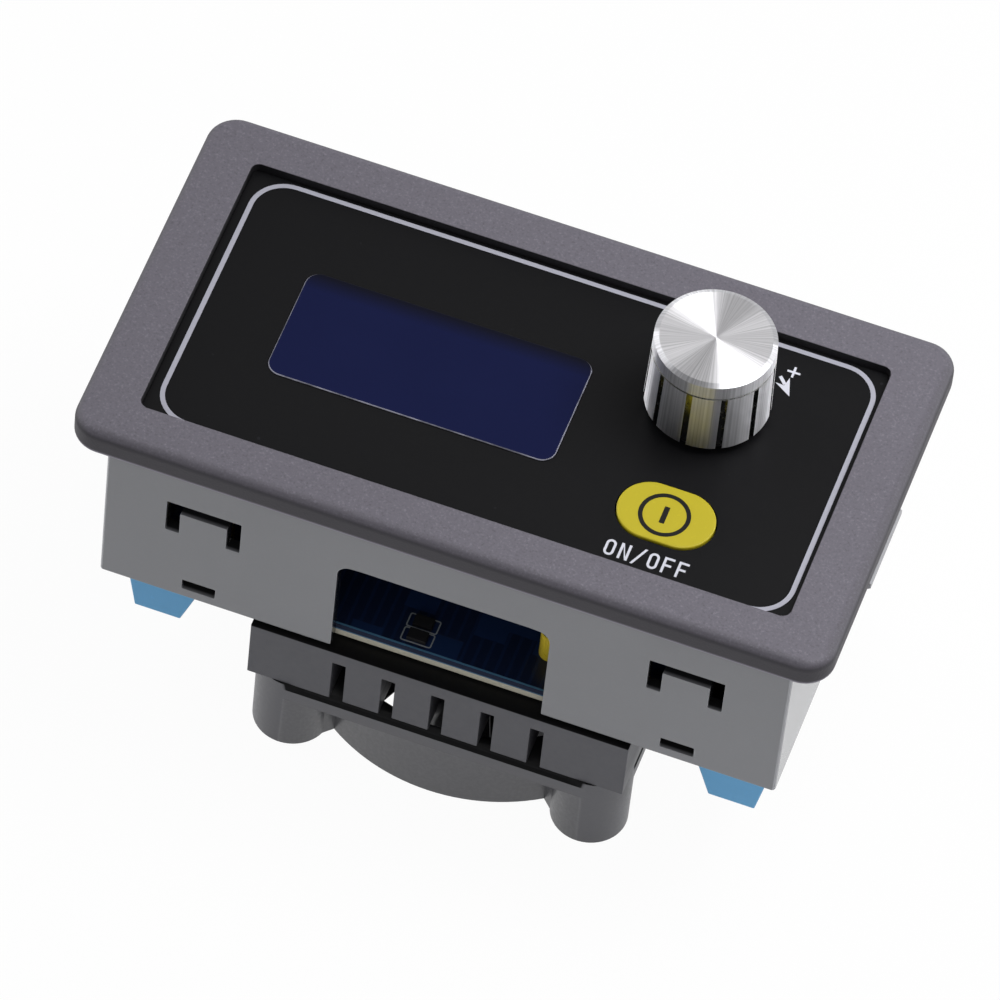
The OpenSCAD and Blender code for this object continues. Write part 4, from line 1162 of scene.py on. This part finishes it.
class Pattern(NodeTree):
    """A geometry node tree that builds one shape from named sizes and sets it on every point of a mesh."""

    def __init__(self, name: str, sizes: dict[str, float]) -> None:
        """Starts the tree with its inputs.

        Args:
            name: Name of the tree.
            sizes: Value of each named input.
        """
        super().__init__(bpy.data.node_groups.new(name, "GeometryNodeTree"))
        self.sizes = sizes
        kinds = {"Geometry": "Geometry", **dict.fromkeys(sizes, "Float"), "Material": "Material"}
        for socket, kind in kinds.items():
            self.tree.interface.new_socket(socket, in_out="INPUT", socket_type="NodeSocket" + kind)
        self.tree.interface.new_socket("Geometry", in_out="OUTPUT", socket_type="NodeSocketGeometry")
        self.size = self.add("NodeGroupInput").outputs
        self.end = self.add("NodeGroupOutput").inputs

    def share(self, size: str, factor: float) -> Socket:
        """Gives a share of a named size."""
        return self.math("MULTIPLY", self.size[size], factor)

    def raised(self, shape: Socket, height: Socket) -> Socket:
        """Moves a shape up by a height."""
        offset = self.out("ShaderNodeCombineXYZ", Z=height)
        return self.out("GeometryNodeTransform", Geometry=shape, Translation=offset)

    def joined(self, *shapes: Socket) -> Socket:
        """Joins shapes.

        Args:
            *shapes: The shapes.

        Returns:
            All of them as one.
        """
        node = self.add("GeometryNodeJoinGeometry")
        for shape in shapes:
            self.feed(node.inputs[0], shape)
        return node.outputs[0]

    def spread(self, shape: Socket) -> None:
        """Sets the shape on every point, tilted and with a random spin, and gives it its material.

        Args:
            shape: Shape that is repeated.
        """
        spin = self.add("FunctionNodeRandomValue", data_type="FLOAT", Seed=SEED)
        # Input 3 is the largest number that it draws, and output 1 is the number.
        self.feed(spin.inputs[3], math.tau)
        turn =self.out("ShaderNodeCombineXYZ", X=self.size["Tilt"], Z=spin.outputs[1])
        points = self.size["Geometry"]
        placed = self.out("GeometryNodeInstanceOnPoints", Points=points, Instance=shape, Rotation=turn)
        real = self.out("GeometryNodeRealizeInstances", Geometry=placed)
        coated = self.out("GeometryNodeSetMaterial", Geometry=real, Material=self.size["Material"])
        self.feed(self.end["Geometry"], coated)

    def run(self, name: str, points: list[Vector], finish: Finish) -> bpy.types.Mesh:
        """Runs the tree on a set of points.

        Args:
            name: Name of the mesh.
            points: Places of the shape.
            finish: Finish of the result.

        Returns:
            The plain mesh.
        """
        work = bpy.data.meshes.new(name + "_points")
        work.from_pydata([tuple(point) for point in points], [], [])
        thing = linked(name + "_work", work)
        modifier = thing.modifiers.new("pattern", "NODES")
        modifier.node_group = self.tree
        values = {**self.sizes, "Material": made(finish)}
        for item in self.tree.interface.items_tree:
            if item.in_out == "INPUT" and item.name in values:
                modifier[item.identifier] = values[item.name]
        return smooth(evaluated(thing, name))


@dataclass
class Screws:
    """Pan-head screws with a cross recess and a thread, which stand for a node of plain screws."""

    node: str
    facing: Facing
    head_height: float
    shank: float
    pitch: float = 0.5 * MM
    recess: Point = (0.62, 0.17)
    band: float = 0.3
    crown: float = 0.7
    flat: float = 0.34
    core: float = 0.43
    tooth: float = 0.07
    threaded: float = 0.9
    head_sides: int = 40
    shank_sides: int = 28
    turn_steps: int = 24
    tooth_sides: int = 4

    def _head(self, tree: Pattern) -> list[Socket]:
        """Builds the head, which stands on the point.

        Args:
            tree: Tree of the screw.

        Returns:
            Its skirt, and its cap with the cross recess.
        """
        height = tree.size["Head Height"]
        reach, flat = tree.share("Head Diameter", 0.5), tree.share("Head Diameter", self.flat)
        band, crown = tree.share("Head Height", self.band), tree.share("Head Height", self.crown)
        sides = self.head_sides
        skirt = tree.out("GeometryNodeMeshCylinder", Vertices=sides, Radius=reach, Depth=band)
        cap = tree.out("GeometryNodeMeshCone", Vertices=sides, Radius_Top=flat, Radius_Bottom=reach,
                       Depth=crown)
        cut = tree.add("GeometryNodeMeshBoolean", operation="DIFFERENCE", solver="EXACT")
        tree.feed(cut.inputs["Mesh 1"], tree.raised(cap, band))
        for long, short in (("X", "Y"), ("Y", "X")):
            spans = {long: tree.size["Recess Length"], short: tree.size["Recess Width"], "Z": height}
            bar = tree.out("GeometryNodeMeshCube", Size=tree.out("ShaderNodeCombineXYZ", **spans))
            tree.feed(cut.inputs["Mesh 2"], tree.raised(bar, height))
        return [tree.raised(skirt, tree.math("MULTIPLY", band, 0.5)), cut.outputs[0]]

    def _shank(self, tree: Pattern) -> list[Socket]:
        """Builds the shank, which hangs below the point.

        Args:
            tree: Tree of the screw.

        Returns:
            Its core and its thread.
        """
        core, tooth = tree.share("Shank Diameter", self.core), tree.share("Shank Diameter", self.tooth)
        length = tree.size["Shank Length"]
        rod = tree.out("GeometryNodeMeshCylinder", Vertices=self.shank_sides, Radius=core, Depth=length)
        run = tree.share("Shank Length", self.threaded)
        turns = tree.math("DIVIDE", run, tree.size["Thread Pitch"])
        path = tree.out("GeometryNodeCurveSpiral", Resolution=self.turn_steps, Rotations=turns,
                        Start_Radius=core, End_Radius=core, Height=run)
        profile = tree.out("GeometryNodeCurvePrimitiveCircle", Resolution=self.tooth_sides, Radius=tooth)
        thread = tree.out("GeometryNodeCurveToMesh", Curve=path, Profile_Curve=profile, Fill_Caps=True)
        return [tree.raised(rod, tree.share("Shank Length", -0.5)),
                tree.raised(thread, tree.math("MULTIPLY", run, -1.0))]

    def build(self) -> None:
        """Makes the screws at the places of the node's own ones."""
        boxes = solids(self.node)
        low, high = boxes[0]
        head = high.x - low.x
        up = self.facing is Facing.UP
        tree = Pattern(self.node + "_tree", {
            "Head Diameter": head, "Head Height": self.head_height, "Shank Diameter": self.shank,
            "Shank Length": high.z - low.z - self.head_height, "Thread Pitch": self.pitch,
            "Recess Length": head * self.recess[0], "Recess Width": head * self.recess[1],
            "Tilt": 0.0 if up else math.pi,
        })
        tree.spread(tree.joined(*self._head(tree), *self._shank(tree)))
        points = []
        for low, high in boxes:
            middle = (low + high) / 2
            middle.z = high.z - self.head_height if up else low.z + self.head_height
            points.append(middle)
        name = self.node + "_cut"
        piece(name, tree.run(name, points, STEEL), Body.CASE, Slot.STEEL, self.node)


@dataclass
class SolderJoints:
    """Solder cones round the pins that come through a board's face."""

    name: str
    nodes: tuple[str, ...]
    face: float
    foot: float = 2.2 * MM
    tip: float = 1.1 * MM
    height: float = 0.8 * MM
    pin_rise: float = 0.1 * MM
    sides: int = 24

    def _pins(self) -> list[Vector]:
        """Finds the pins that stand above the face.

        Returns:
            The middle of each pin, on the face.
        """
        pins: list[list[Vector]] = []
        for node in self.nodes:
            work = merged(node)
            tops = [v.co.copy() for v in work.verts if v.co.z > self.face + self.pin_rise]
            work.free()
            for top in sorted(tops, key=tuple):
                near = [pin for pin in pins if (pin[0].xy - top.xy).length < self.foot]
                if near:
                    near[0].append(top)
                else:
                    pins.append([top])
        places = []
        for pin in pins:
            spans = [[corner[axis] for corner in pin] for axis in (Axis.X, Axis.Y)]
            places.append(Vector((*((min(span) + max(span)) / 2 for span in spans), self.face)))
        return places

    def build(self) -> None:
        """Makes the joints."""
        tree = Pattern(self.name + "_tree", {
            "Foot Radius": self.foot / 2, "Tip Radius": self.tip / 2, "Height": self.height, "Tilt": 0.0,
        })
        size = tree.size
        tree.spread(tree.out("GeometryNodeMeshCone", Vertices=self.sides, Radius_Top=size["Tip Radius"],
                             Radius_Bottom=size["Foot Radius"], Depth=size["Height"]))
        piece(self.name, tree.run(self.name, self._pins(), SOLDER), Body.CASE, Slot.TINNED)


@dataclass
class FrontPanel:
    """Case, front sheet, display and the marks printed on the sheet."""

    border_size: Point = (65.55, 31.7)
    border_place: Point = (0.27, -0.15)
    border_radius: float = 3.6
    border_line: float = 0.5
    word_place: Point = (14.2, -15.25)
    plus_place: Point = (24.63, 12.95)
    plus_arm: float = 1.35
    mark_line: float = 0.24
    arrow_tip: Point = (25.15, 9.95)
    arrow_notch: Point = (24.25, 11.05)
    arrow_barbs: tuple[Point, Point] = ((24.48, 12.15), (23.3, 11.1))
    arrow_arc: float = 8.25
    arrow_span: Point = (39.0, 46.5)
    arrow_line: float = 0.36
    arrow_steps: int = 6
    soft_edge: float = 0.1 * MM
    recess_radius: float = 0.85
    recess_overlap: float = 0.12
    recess_proud: float = 0.004 * MM
    recess_steps: int = 8
    lip_half: float = 4.9
    lip_outline: tuple[Point, ...] = ((38.45, 35.4), (39.2, 36.0), (39.2, 36.6), (38.45, 37.6))
    glass_margin: float = 0.2 * MM
    letters: Lettering = field(default_factory=Lettering)

    def build(self) -> None:
        """Makes the case and the printed marks."""
        softened("case_shell", self.soft_edge, CASE, Slot.CASE)
        self._wing_lips()
        self._recess_corners()
        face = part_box("front_overlay")[1].z
        border = Print(face)
        place, (width, height) = self.border_place, self.border_size
        line, radius = self.border_line, self.border_radius
        border.ring(round_rect(place, width + line, height + line, radius + line / 2),
                    round_rect(place, width - line, height - line, radius - line / 2))
        border.lay("border_print", BORDER_INK, Slot.WHITE)
        marks = Print(face)
        self.letters.word("ON/OFF", marks, *self.word_place)
        self._plus(marks)
        self._arrow(marks)
        marks.lay("panel_marks", WHITE_INK, Slot.WHITE)

    def _wing_lips(self) -> None:
        """Adds the turned-out lips at the tips of the two snap wings."""
        work = bmesh.new()
        for side in (-1, 1):
            ends = [[work.verts.new((side * x * MM, y * MM, z * MM)) for x, z in self.lip_outline]
                    for y in (-self.lip_half, self.lip_half)]
            work.faces.new(ends[0])
            work.faces.new(ends[1])
            for i in range(len(self.lip_outline)):
                work.faces.new((ends[0][i - 1], ends[0][i], ends[1][i], ends[1][i - 1]))
        bmesh.ops.recalc_face_normals(work, faces=work.faces)
        # The lips' lighter grey is a painted highlight.
        piece("wing_lips", mesh_of("wing_lips", work, LIT_WING_PLASTIC), Body.CASE, Slot.CASE)

    def _recess_corners(self) -> None:
        """Fills the sharp corners of the bezel's recess, so that they are round."""
        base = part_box("front_overlay")[1].z
        corners = Print(base, BEZEL_FRONT - base + self.recess_proud)
        radius, overlap = self.recess_radius, self.recess_overlap
        for quarter, (i, j) in enumerate(QUARTERS):
            corner = (i * RECESS_HALF[0] / MM, j * RECESS_HALF[1] / MM)
            middle = (corner[0] - i * radius, corner[1] - j * radius)
            outer = (corner[0] + i * overlap, corner[1] + j * overlap)
            corners.shape([outer, *arc(middle, radius, 90 * quarter + 90, 90 * quarter, self.recess_steps)])
        corners.lay("recess_corners", CASE, Slot.CASE)

    def _plus(self, marks: Print) -> None:
        """Prints the plus sign beside the knob.

        Args:
            marks: Print that it is added to.
        """
        reach, half = self.plus_arm / 2, self.mark_line / 2
        x, y = self.plus_place
        corner = [(reach, -half), (reach, half), (half, half)]
        outline = []
        for turn in range(4):
            c, s = math.cos(turn * math.pi / 2), math.sin(turn * math.pi / 2)
            outline += [(x + c * i - s * j, y + s * i + c * j) for i, j in corner]
        marks.shape(outline)

    def _arrow(self, marks: Print) -> None:
        """Prints the turning arrow: a swallow-tailed head and a short tail that bends round the knob.

        Args:
            marks: Print that it is added to.
        """
        low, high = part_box("knob_cap")
        centre = ((low.x + high.x) / 2 / MM, (low.y + high.y) / 2 / MM)
        marks.shape([self.arrow_tip, self.arrow_barbs[0], self.arrow_notch, self.arrow_barbs[1]])
        marks.stroke(arc(centre, self.arrow_arc, *self.arrow_span, self.arrow_steps), self.arrow_line)

    def dress(self) -> None:
        """Gives the sheet, the window and the display their finishes."""
        coat(SHEET, "front_overlay")
        coat(PANE, "display_window")
        coat(WHITE_PLASTIC, "lcd_backlight")
        coat(TINNED, "lcd_pins")
        low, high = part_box("display_window")
        middle = (low + high) / 2
        half = tuple((high[axis] - low[axis]) / 2 + self.glass_margin for axis in (Axis.X, Axis.Y))
        coat(DisplayGlass("display_glass", srgb(24, 29, 78), srgb(10, 11, 26), middle, half), "lcd_glass")


@dataclass
class Knob:
    """Turned metal knob with upright grooves below a ring groove, on its push encoder."""

    grooves: int = 11
    groove_width: float = 0.66
    groove_depth: float = 0.35
    groove_phase: float = -29.0
    ring_drop: float = 2.0
    ring_width: float = 0.22
    ring_depth: float = 0.1
    ring_shoulder: float = 1.6
    ring_floor: float = 0.3
    chamfer: float = 0.5
    chamfer_height: float = 0.25
    taper: float = 0.25
    wall: float = 1.25
    foot_inset: float = 0.5
    top_rings: tuple[float, ...] = (4.2, 2.8, 1.5, 0.5)
    arc_steps: int = 18
    smooth_angle: float = 25.0

    def _turns(self, radius: float) -> list[tuple[float, bool]]:
        """Lists the angles round the side.

        Args:
            radius: Outer radius in millimetres.

        Returns:
            Each angle, with whether it lies in a groove.
        """
        sector = 2 * math.pi / self.grooves
        half = self.groove_width / 2 / radius
        land = sector - 2 * half
        turns = []
        for index in range(self.grooves):
            middle = math.radians(self.groove_phase) + index * sector
            turns += [(middle - half, False), (middle - half, True), (middle, True), (middle + half, True)]
            turns += [(middle + half + land * i / self.arc_steps, False) for i in range(self.arc_steps)]
        return turns

    def _profile(self, radius: float, height: float) -> list[tuple[float, float, bool, KnobFace]]:
        """Lists the profile from the inner top edge round to the middle of the top.

        Args:
            radius: Outer radius in millimetres.
            height: Height in millimetres.

        Returns:
            Radius, height, whether the upright grooves cut it, and the kind of the face above it.
        """
        top, side, groove = KnobFace
        ring, half = height - self.ring_drop, self.ring_width / 2
        bottom, floor = radius - self.ring_depth, self.ring_floor * half
        foot, inner = self.chamfer_height, radius - self.wall
        return [
            (inner, height - self.wall, False, side), (inner, 0.0, False, side),
            (radius - self.foot_inset, 0.0, False, side), (radius - foot, 0.0, True, side),
            (radius, foot, True, side), (radius, ring - self.ring_shoulder * half, True, side),
            (radius, ring - half, False, groove), (bottom, ring - floor, False, groove),
            (bottom, ring + floor, False, groove), (radius, ring + half, False, side),
            (radius, height - self.chamfer_height, False, side), (radius - self.chamfer, height, False, top),
            *((r, height, False, top) for r in self.top_rings),
        ]

    def _worked(self, centre: Vector, radius: float, height: float) -> bmesh.types.BMesh:
        """Turns the cap.

        Args:
            centre: Middle of its foot in metres.
            radius: Outer radius in millimetres.
            height: Height in millimetres.

        Returns:
            The worked mesh with its lathe map.
        """
        turns, profile = self._turns(radius), self._profile(radius, height)
        work = bmesh.new()
        uv = work.loops.layers.uv.new(LATHE_MAP)
        rows = []
        for r, z, cut, _ in profile:
            row = []
            for angle, in_groove in turns:
                depth = self.taper * z / height + (self.groove_depth if cut and in_groove else 0.0)
                reach = max(r - depth, 0.0) * MM if r > radius - self.wall else r * MM
                place = Vector((reach * math.cos(angle), reach * math.sin(angle), z * MM))
                row.append(work.verts.new(centre + place))
            rows.append(row)
        middle = work.verts.new(centre + Vector((0, 0, height * MM)))
        last = len(profile) - 1
        grid = (len(profile), len(turns))
        for i in range(len(turns)):
            after = (i + 1) % len(turns)
            for k in range(last):
                face = work.faces.new((rows[k][i], rows[k][after], rows[k + 1][after], rows[k + 1][i]))
                in_groove = profile[k][2] and profile[k + 1][2] and (turns[i][1] or turns[after][1])
                face.material_index = KnobFace.GROOVE if in_groove else profile[k][3]
                self._map(face, uv, grid, ((k, i), (k, i + 1), (k + 1, i + 1), (k + 1, i)))
            face = work.faces.new((rows[-1][i], rows[-1][after], middle))
            self._map(face, uv, grid, ((last, i), (last, i + 1), (last + 1, i + 0.5)))
        work.faces.new(rows[0])
        bmesh.ops.remove_doubles(work, verts=work.verts, dist=MERGE_GAP)
        bmesh.ops.recalc_face_normals(work, faces=work.faces)
        return work

    @staticmethod
    def _map(face: bmesh.types.BMFace, uv: bmesh.types.BMLayerItem, grid: Point,
             places: tuple[Point, ...]) -> None:
        """Lays a face on the lathe map, by the row and the turn of each corner on the grid of all of them."""
        for loop, (row, turn) in zip(face.loops, places):
            loop[uv].uv = (row / grid[0], turn / grid[1])

    def build(self) -> None:
        """Makes the turned cap."""
        low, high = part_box("knob_cap")
        centre = Vector(((low.x + high.x) / 2, (low.y + high.y) / 2, low.z))
        work = self._worked(centre, (high.x - low.x) / 2 / MM, (high.z - low.z) / MM)
        top = TurnedMetal("knob_top", srgb(238, 237, 240), centre, 0.37, 0.97)
        side = TurnedMetal("knob_side", srgb(226, 226, 230), centre, 0.33, 1.0, line_depth=0.0)
        # The grooves take a darker metal: painted shade in the grooves.
        groove = PlatedMetal("knob_groove_shaded", srgb(150, 150, 148), 0.2, 0.05)
        mesh = smooth(mesh_of("knob_turned", work, top, side, groove), self.smooth_angle)
        piece("knob_turned", mesh, Body.KNOB, Slot.METAL, "knob_cap")

    def dress(self) -> None:
        """Gives the encoder's parts their finishes."""
        coat(DARK_PLASTIC, "knob_core", "encoder_base")
        coat(STEEL, "encoder_shaft", "encoder_cover")
        coat(BRASS, "encoder_rotor")
        coat(WHITE_PLASTIC, "encoder_plunger")


@dataclass
class PowerKey:
    """Yellow key with its printed ring and bar, on its push switch."""

    ring_place: Point = (18.45, -8.74)
    ring_size: float = 5.25
    ring_line: float = 0.45
    ring_steps: int = 64
    bar_height: float = 2.1
    bar_width: float = 0.55
    bar_radius: float = 0.06
    bar_steps: int = 3

    def build(self) -> None:
        """Prints the ring and the bar on the key."""
        ink = Print(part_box("power_key")[1].z)
        radius = self.ring_size / 2
        turn = 360 - 360 / self.ring_steps
        ink.ring(arc(self.ring_place, radius, 0, turn, self.ring_steps - 1),
                 arc(self.ring_place, radius - self.ring_line, 0, turn, self.ring_steps - 1))
        ink.shape(round_rect(self.ring_place, self.bar_width, self.bar_height, self.bar_radius,
                             self.bar_steps))
        ink.lay("key_print", BLACK_INK, Slot.DARK, Body.KEY)

    def dress(self) -> None:
        """Gives the key and its switch their finishes."""
        coat(KEY_PLASTIC, "power_key")
        coat(DARK_PLASTIC, "switch_body", "switch_stem")
        coat(STEEL, "switch_cover")


@dataclass
class BoardStack:
    """The two boards with their parts, printed outlines and solder joints."""

    outline_size: Point = (3.3, 1.75)
    outline_places: tuple[Point, Point] = ((-3.1, -16.15), (-3.1, -14.35))
    outline_line: float = 0.14
    outline_radius: Point = (0.25, 0.12)
    outline_steps: int = 4
    track_inset: float = 0.05
    track_line: float = 0.22
    track_radius: Point = (1.0, 0.8)
    dip_reach: float = 0.9
    dip_radius: float = 1.2

    def build(self) -> None:
        """Prints the rear board and makes its capacitor, screws and solder joints."""
        low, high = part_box("rear_board")
        self._outlines(high.z)
        self._edge_track(low, high)
        self._dipped_capacitor()
        Screws("spacer_screws", Facing.UP, head_height=1.4 * MM, shank=2.0 * MM).build()
        SolderJoints("rear_joints", ("terminal_contacts", "dc_jack_contacts"), high.z).build()

    def _outlines(self, face: float) -> None:
        """Prints the outlines round the two small parts.

        Args:
            face: Height of the board's face in metres.
        """
        silk = Print(face)
        width, height = self.outline_size
        line, (outer, inner) = self.outline_line, self.outline_radius
        for place in self.outline_places:
            silk.ring(round_rect(place, width, height, outer, self.outline_steps),
                      round_rect(place, width - 2 * line, height - 2 * line, inner, self.outline_steps))
        silk.lay("board_print", SILK_INK, Slot.WHITE)

    def _edge_track(self, low: Vector, high: Vector) -> None:
        """Prints the track along the rear board's edge.

        Args:
            low: Lowest corner of the board.
            high: Highest corner of the board.
        """
        track = Print(high.z)
        width, height = (high.x - low.x) / MM, (high.y - low.y) / MM
        insets = (self.track_inset, self.track_inset + self.track_line)
        track.ring(*(round_rect((0, 0), width - 2 * inset, height - 2 * inset, radius)
                     for inset, radius in zip(insets, self.track_radius)))
        track.lay("edge_track", TRACK_INK, Slot.BOARD)

    def _dipped_capacitor(self) -> None:
        """Makes the film capacitor's round dipped coat."""
        low, high = (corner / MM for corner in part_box("film_capacitor"))
        coating = Print(low.z * MM, (high.z - low.z) * MM)
        middle = ((low.x + high.x - self.dip_reach) / 2, (low.y + high.y) / 2)
        coating.shape(round_rect(middle, high.x - low.x + self.dip_reach, high.y - low.y, self.dip_radius))
        mesh = smooth(coating.mesh("film_capacitor_dip", YELLOW_RESIN))
        piece("film_capacitor_dip", mesh, Body.CASE, Slot.YELLOW, "film_capacitor")

    def dress(self) -> None:
        """Gives the boards and their parts their finishes."""
        coat(BOARD, "front_board", "rear_board")
        coat(CHIP_RESIN, "front_chips", "rear_chips", "power_transistors")
        coat(COPPER, "shunt_resistor")
        coat(CAN_METAL, "electrolytic_capacitors")
        coat(BRASS, "board_spacers", "header_pins")
        coat(DARK_PLASTIC, "header_strip", "header_socket")
        coat(PAD, "thermal_pad")


@dataclass
class Connectors:
    """Screw terminals and supply sockets on the back of the rear board."""

    soft_edge: float = 0.12 * MM

    def build(self) -> None:
        """Rounds the edges of the moulded housings."""
        for side in ("left", "right"):
            softened(f"terminal_housing_{side}", self.soft_edge, TERMINAL_PLASTIC, Slot.BLUE)
        softened("dc_jack_body", self.soft_edge, DARK_PLASTIC, Slot.DARK)

    def dress(self) -> None:
        """Gives the metal parts and the socket's tongue their finishes."""
        for index in range(1, 5):
            coat(STEEL, f"terminal_screw_{index}")
            coat(TINNED, f"terminal_clamp_{index}")
        coat(TINNED, "terminal_contacts", "dc_jack_contacts")
        coat(STEEL, "usb_shell")
        coat(DARK_PLASTIC, "usb_tongue")


@dataclass
class Cooler:
    """Heatsink and fan behind the rear board."""

    soft_edge: float = 0.1 * MM

    def build(self) -> None:
        """Rounds the edges of the heatsink, smooths the fan and cuts the screws."""
        softened("heatsink", self.soft_edge, ANODISED, Slot.ANODISED)
        smoothed("fan_frame", TOP_SHADED_FRAME_PLASTIC, Body.CASE, Slot.FAN)
        smoothed("fan_rotor", FAN_PLASTIC, Body.FAN, Slot.FAN)
        Screws("heatsink_screws", Facing.UP, head_height=2.0 * MM, shank=3.0 * MM).build()
        Screws("fan_screws", Facing.DOWN, head_height=2.0 * MM, shank=2.9 * MM).build()

    def dress(self) -> None:
        """Gives the fan's inner parts their finishes."""
        coat(MAGNET, "fan_magnet", "fan_stator")
        coat(STEEL, "fan_shaft")
        coat(BRASS, "fan_bearing")
        coat(COPPER, "fan_coils")
        coat(FAN_BOARD, "fan_board")


@dataclass
class SoftLight:
    """One rectangular soft light that points at the object."""

    name: str
    direction: tuple[float, float, float]
    distance: float
    size: Point
    power: float
    in_gloss: bool = True

    def place(self, aim: Vector) -> None:
        """Adds the light to the scene.

        Args:
            aim: Point that it shines at.
        """
        lamp = bpy.data.lights.new(self.name, "AREA")
        lamp.shape = "RECTANGLE"
        lamp.size, lamp.size_y = self.size
        lamp.energy = self.power
        towards = Vector(self.direction).normalized()
        thing = linked(self.name, lamp)
        thing.location = aim + towards * self.distance
        thing.rotation_euler = (-towards).to_track_quat("-Z", "Y").to_euler()
        thing.visible_camera = False
        thing.visible_glossy = self.in_gloss


@dataclass
class Studio:
    """White floor and surround, soft lights and the camera at the photograph's angle."""

    azimuth: float = 14.011978
    elevation: float = 53.482526
    roll: float = 6.810336
    aim: Vector = field(default_factory=lambda: Vector((0.30615249, -2.87306933, 27.88109606)) * MM)
    distance: float = 1030.101257 * MM
    lens: float = 371.9935
    sensor: float = 36.0
    floor_size: float = 8.0
    floor_colour: Colour = srgb(240, 240, 240)
    floor_glow: float = 0.96
    ambient: float = 0.35
    front_glow: float = 0.08
    back_glow: float = 0.6
    lights: tuple[SoftLight, ...] = (
        SoftLight("right_light", (0.42, 0.18, 0.89), 0.24, (0.11, 0.15), 0.39),
        SoftLight("left_light", (-0.51, 0.167, 0.843), 0.9, (0.14, 0.28), 0.55),
        SoftLight("top_light", (0.3, -0.35, 1.0), 1.3, (0.7, 0.5), 0.5),
        SoftLight("back_left_light", (-0.97, 0.2, 0.15), 1.0, (0.5, 0.28), 3.6),
        SoftLight("back_right_light", (0.78, 0.6, 0.15), 1.0, (0.5, 0.28), 3.2),
        SoftLight("front_light", (0.1, -1.0, 0.3), 1.1, (0.8, 0.4), 1.55, False),
    )

    def build(self) -> None:
        """Makes the floor, the surround, the lights and the camera."""
        self._floor()
        self._surround()
        for light in self.lights:
            light.place(self.aim)
        self._camera()
        bpy.context.scene.view_settings.view_transform = "Standard"

    @staticmethod
    def _seen(nodes: NodeTree) -> Socket:
        """Tells rays that show the background from rays that carry light.

        Args:
            nodes: Nodes of the floor or the world.

        Returns:
            One for camera, glossy and transmission rays.
        """
        rays = nodes.add("ShaderNodeLightPath").outputs
        seen = nodes.math("MAXIMUM", rays["Is Camera Ray"], rays["Is Glossy Ray"])
        return nodes.math("MAXIMUM", seen, rays["Is Transmission Ray"])

    def _floor(self) -> None:
        """Makes the white floor, which keeps a faint shadow and is clear from below."""
        half = self.floor_size / 2
        mesh = bpy.data.meshes.new("floor")
        mesh.from_pydata([(x * half, y * half, 0) for x, y in QUARTERS], [], [(0, 1, 2, 3)])
        material = bpy.data.materials.new("floor_white")
        material.use_nodes = True
        nodes = NodeTree(material.node_tree)
        nodes.tree.nodes.clear()
        matt = nodes.out("ShaderNodeBsdfDiffuse", Color=opaque(self.floor_colour))
        glow = nodes.out("ShaderNodeEmission", Strength=1.0)
        above = nodes.blend(nodes.math("MULTIPLY", self._seen(nodes), self.floor_glow), matt, glow)
        from_below = nodes.add("ShaderNodeNewGeometry").outputs["Backfacing"]
        sided = nodes.blend(from_below, above, nodes.out("ShaderNodeBsdfTransparent"))
        nodes.add("ShaderNodeOutputMaterial", Surface=sided)
        mesh.materials.append(material)
        floor = linked("floor", mesh)

    def _surround(self) -> None:
        """Makes the surround: white to the camera, a white backdrop for metal to show, dim as light."""
        world = bpy.data.worlds.new("studio")
        bpy.context.scene.world = world
        world.use_nodes = True
        nodes = NodeTree(world.node_tree)
        nodes.tree.nodes.clear()
        direction = nodes.add("ShaderNodeTexCoord").outputs["Generated"]
        split = nodes.add("ShaderNodeSeparateXYZ", Vector=direction).outputs
        behind = nodes.span(split[Axis.Y], -0.05, 0.3)
        low = nodes.span(split[Axis.Z], 0.3, 0.65, 1.0, 0.0)
        depth = nodes.span(split[Axis.Y], -0.45, 0.1, self.front_glow, self.back_glow)
        glow = nodes.math("MAXIMUM", nodes.math("MULTIPLY", behind, low), depth)
        glow = nodes.math("MAXIMUM", glow, nodes.add("ShaderNodeLightPath").outputs["Is Camera Ray"])
        white = opaque((1.0, 1.0, 1.0))
        light = nodes.out("ShaderNodeBackground", Color=white, Strength=self.ambient)
        shown = nodes.out("ShaderNodeBackground", Color=white, Strength=glow)
        nodes.add("ShaderNodeOutputWorld", Surface=nodes.blend(self._seen(nodes), light, shown))

    def _camera(self) -> None:
        """Places the camera."""
        turn, rise = math.radians(self.azimuth), math.radians(self.elevation)
        away = Vector((math.sin(turn) * math.cos(rise), -math.cos(turn) * math.cos(rise), math.sin(rise)))
        lens = bpy.data.cameras.new("camera")
        lens.lens = self.lens
        lens.sensor_width = self.sensor
        camera = linked("camera", lens)
        facing = (-away).to_track_quat("-Z", "Y").to_matrix().to_4x4()
        place = Matrix.Translation(self.aim + away * self.distance)
        camera.matrix_world = place @ facing @ Matrix.Rotation(math.radians(self.roll), 4, "Z")
        bpy.context.scene.camera = camera


def main() -> None:
    """Builds and dresses the object, assembly by assembly."""
    logging.basicConfig(level=logging.INFO, format="%(name)s: %(message)s")
    Studio().build()
    for assembly in (FrontPanel(), Knob(), PowerKey(), BoardStack(), Connectors(), Cooler()):
        assembly.build()
        assembly.dress()
        LOG.info("%s is dressed", type(assembly).__name__)


if __name__ == "__main__":
    main()
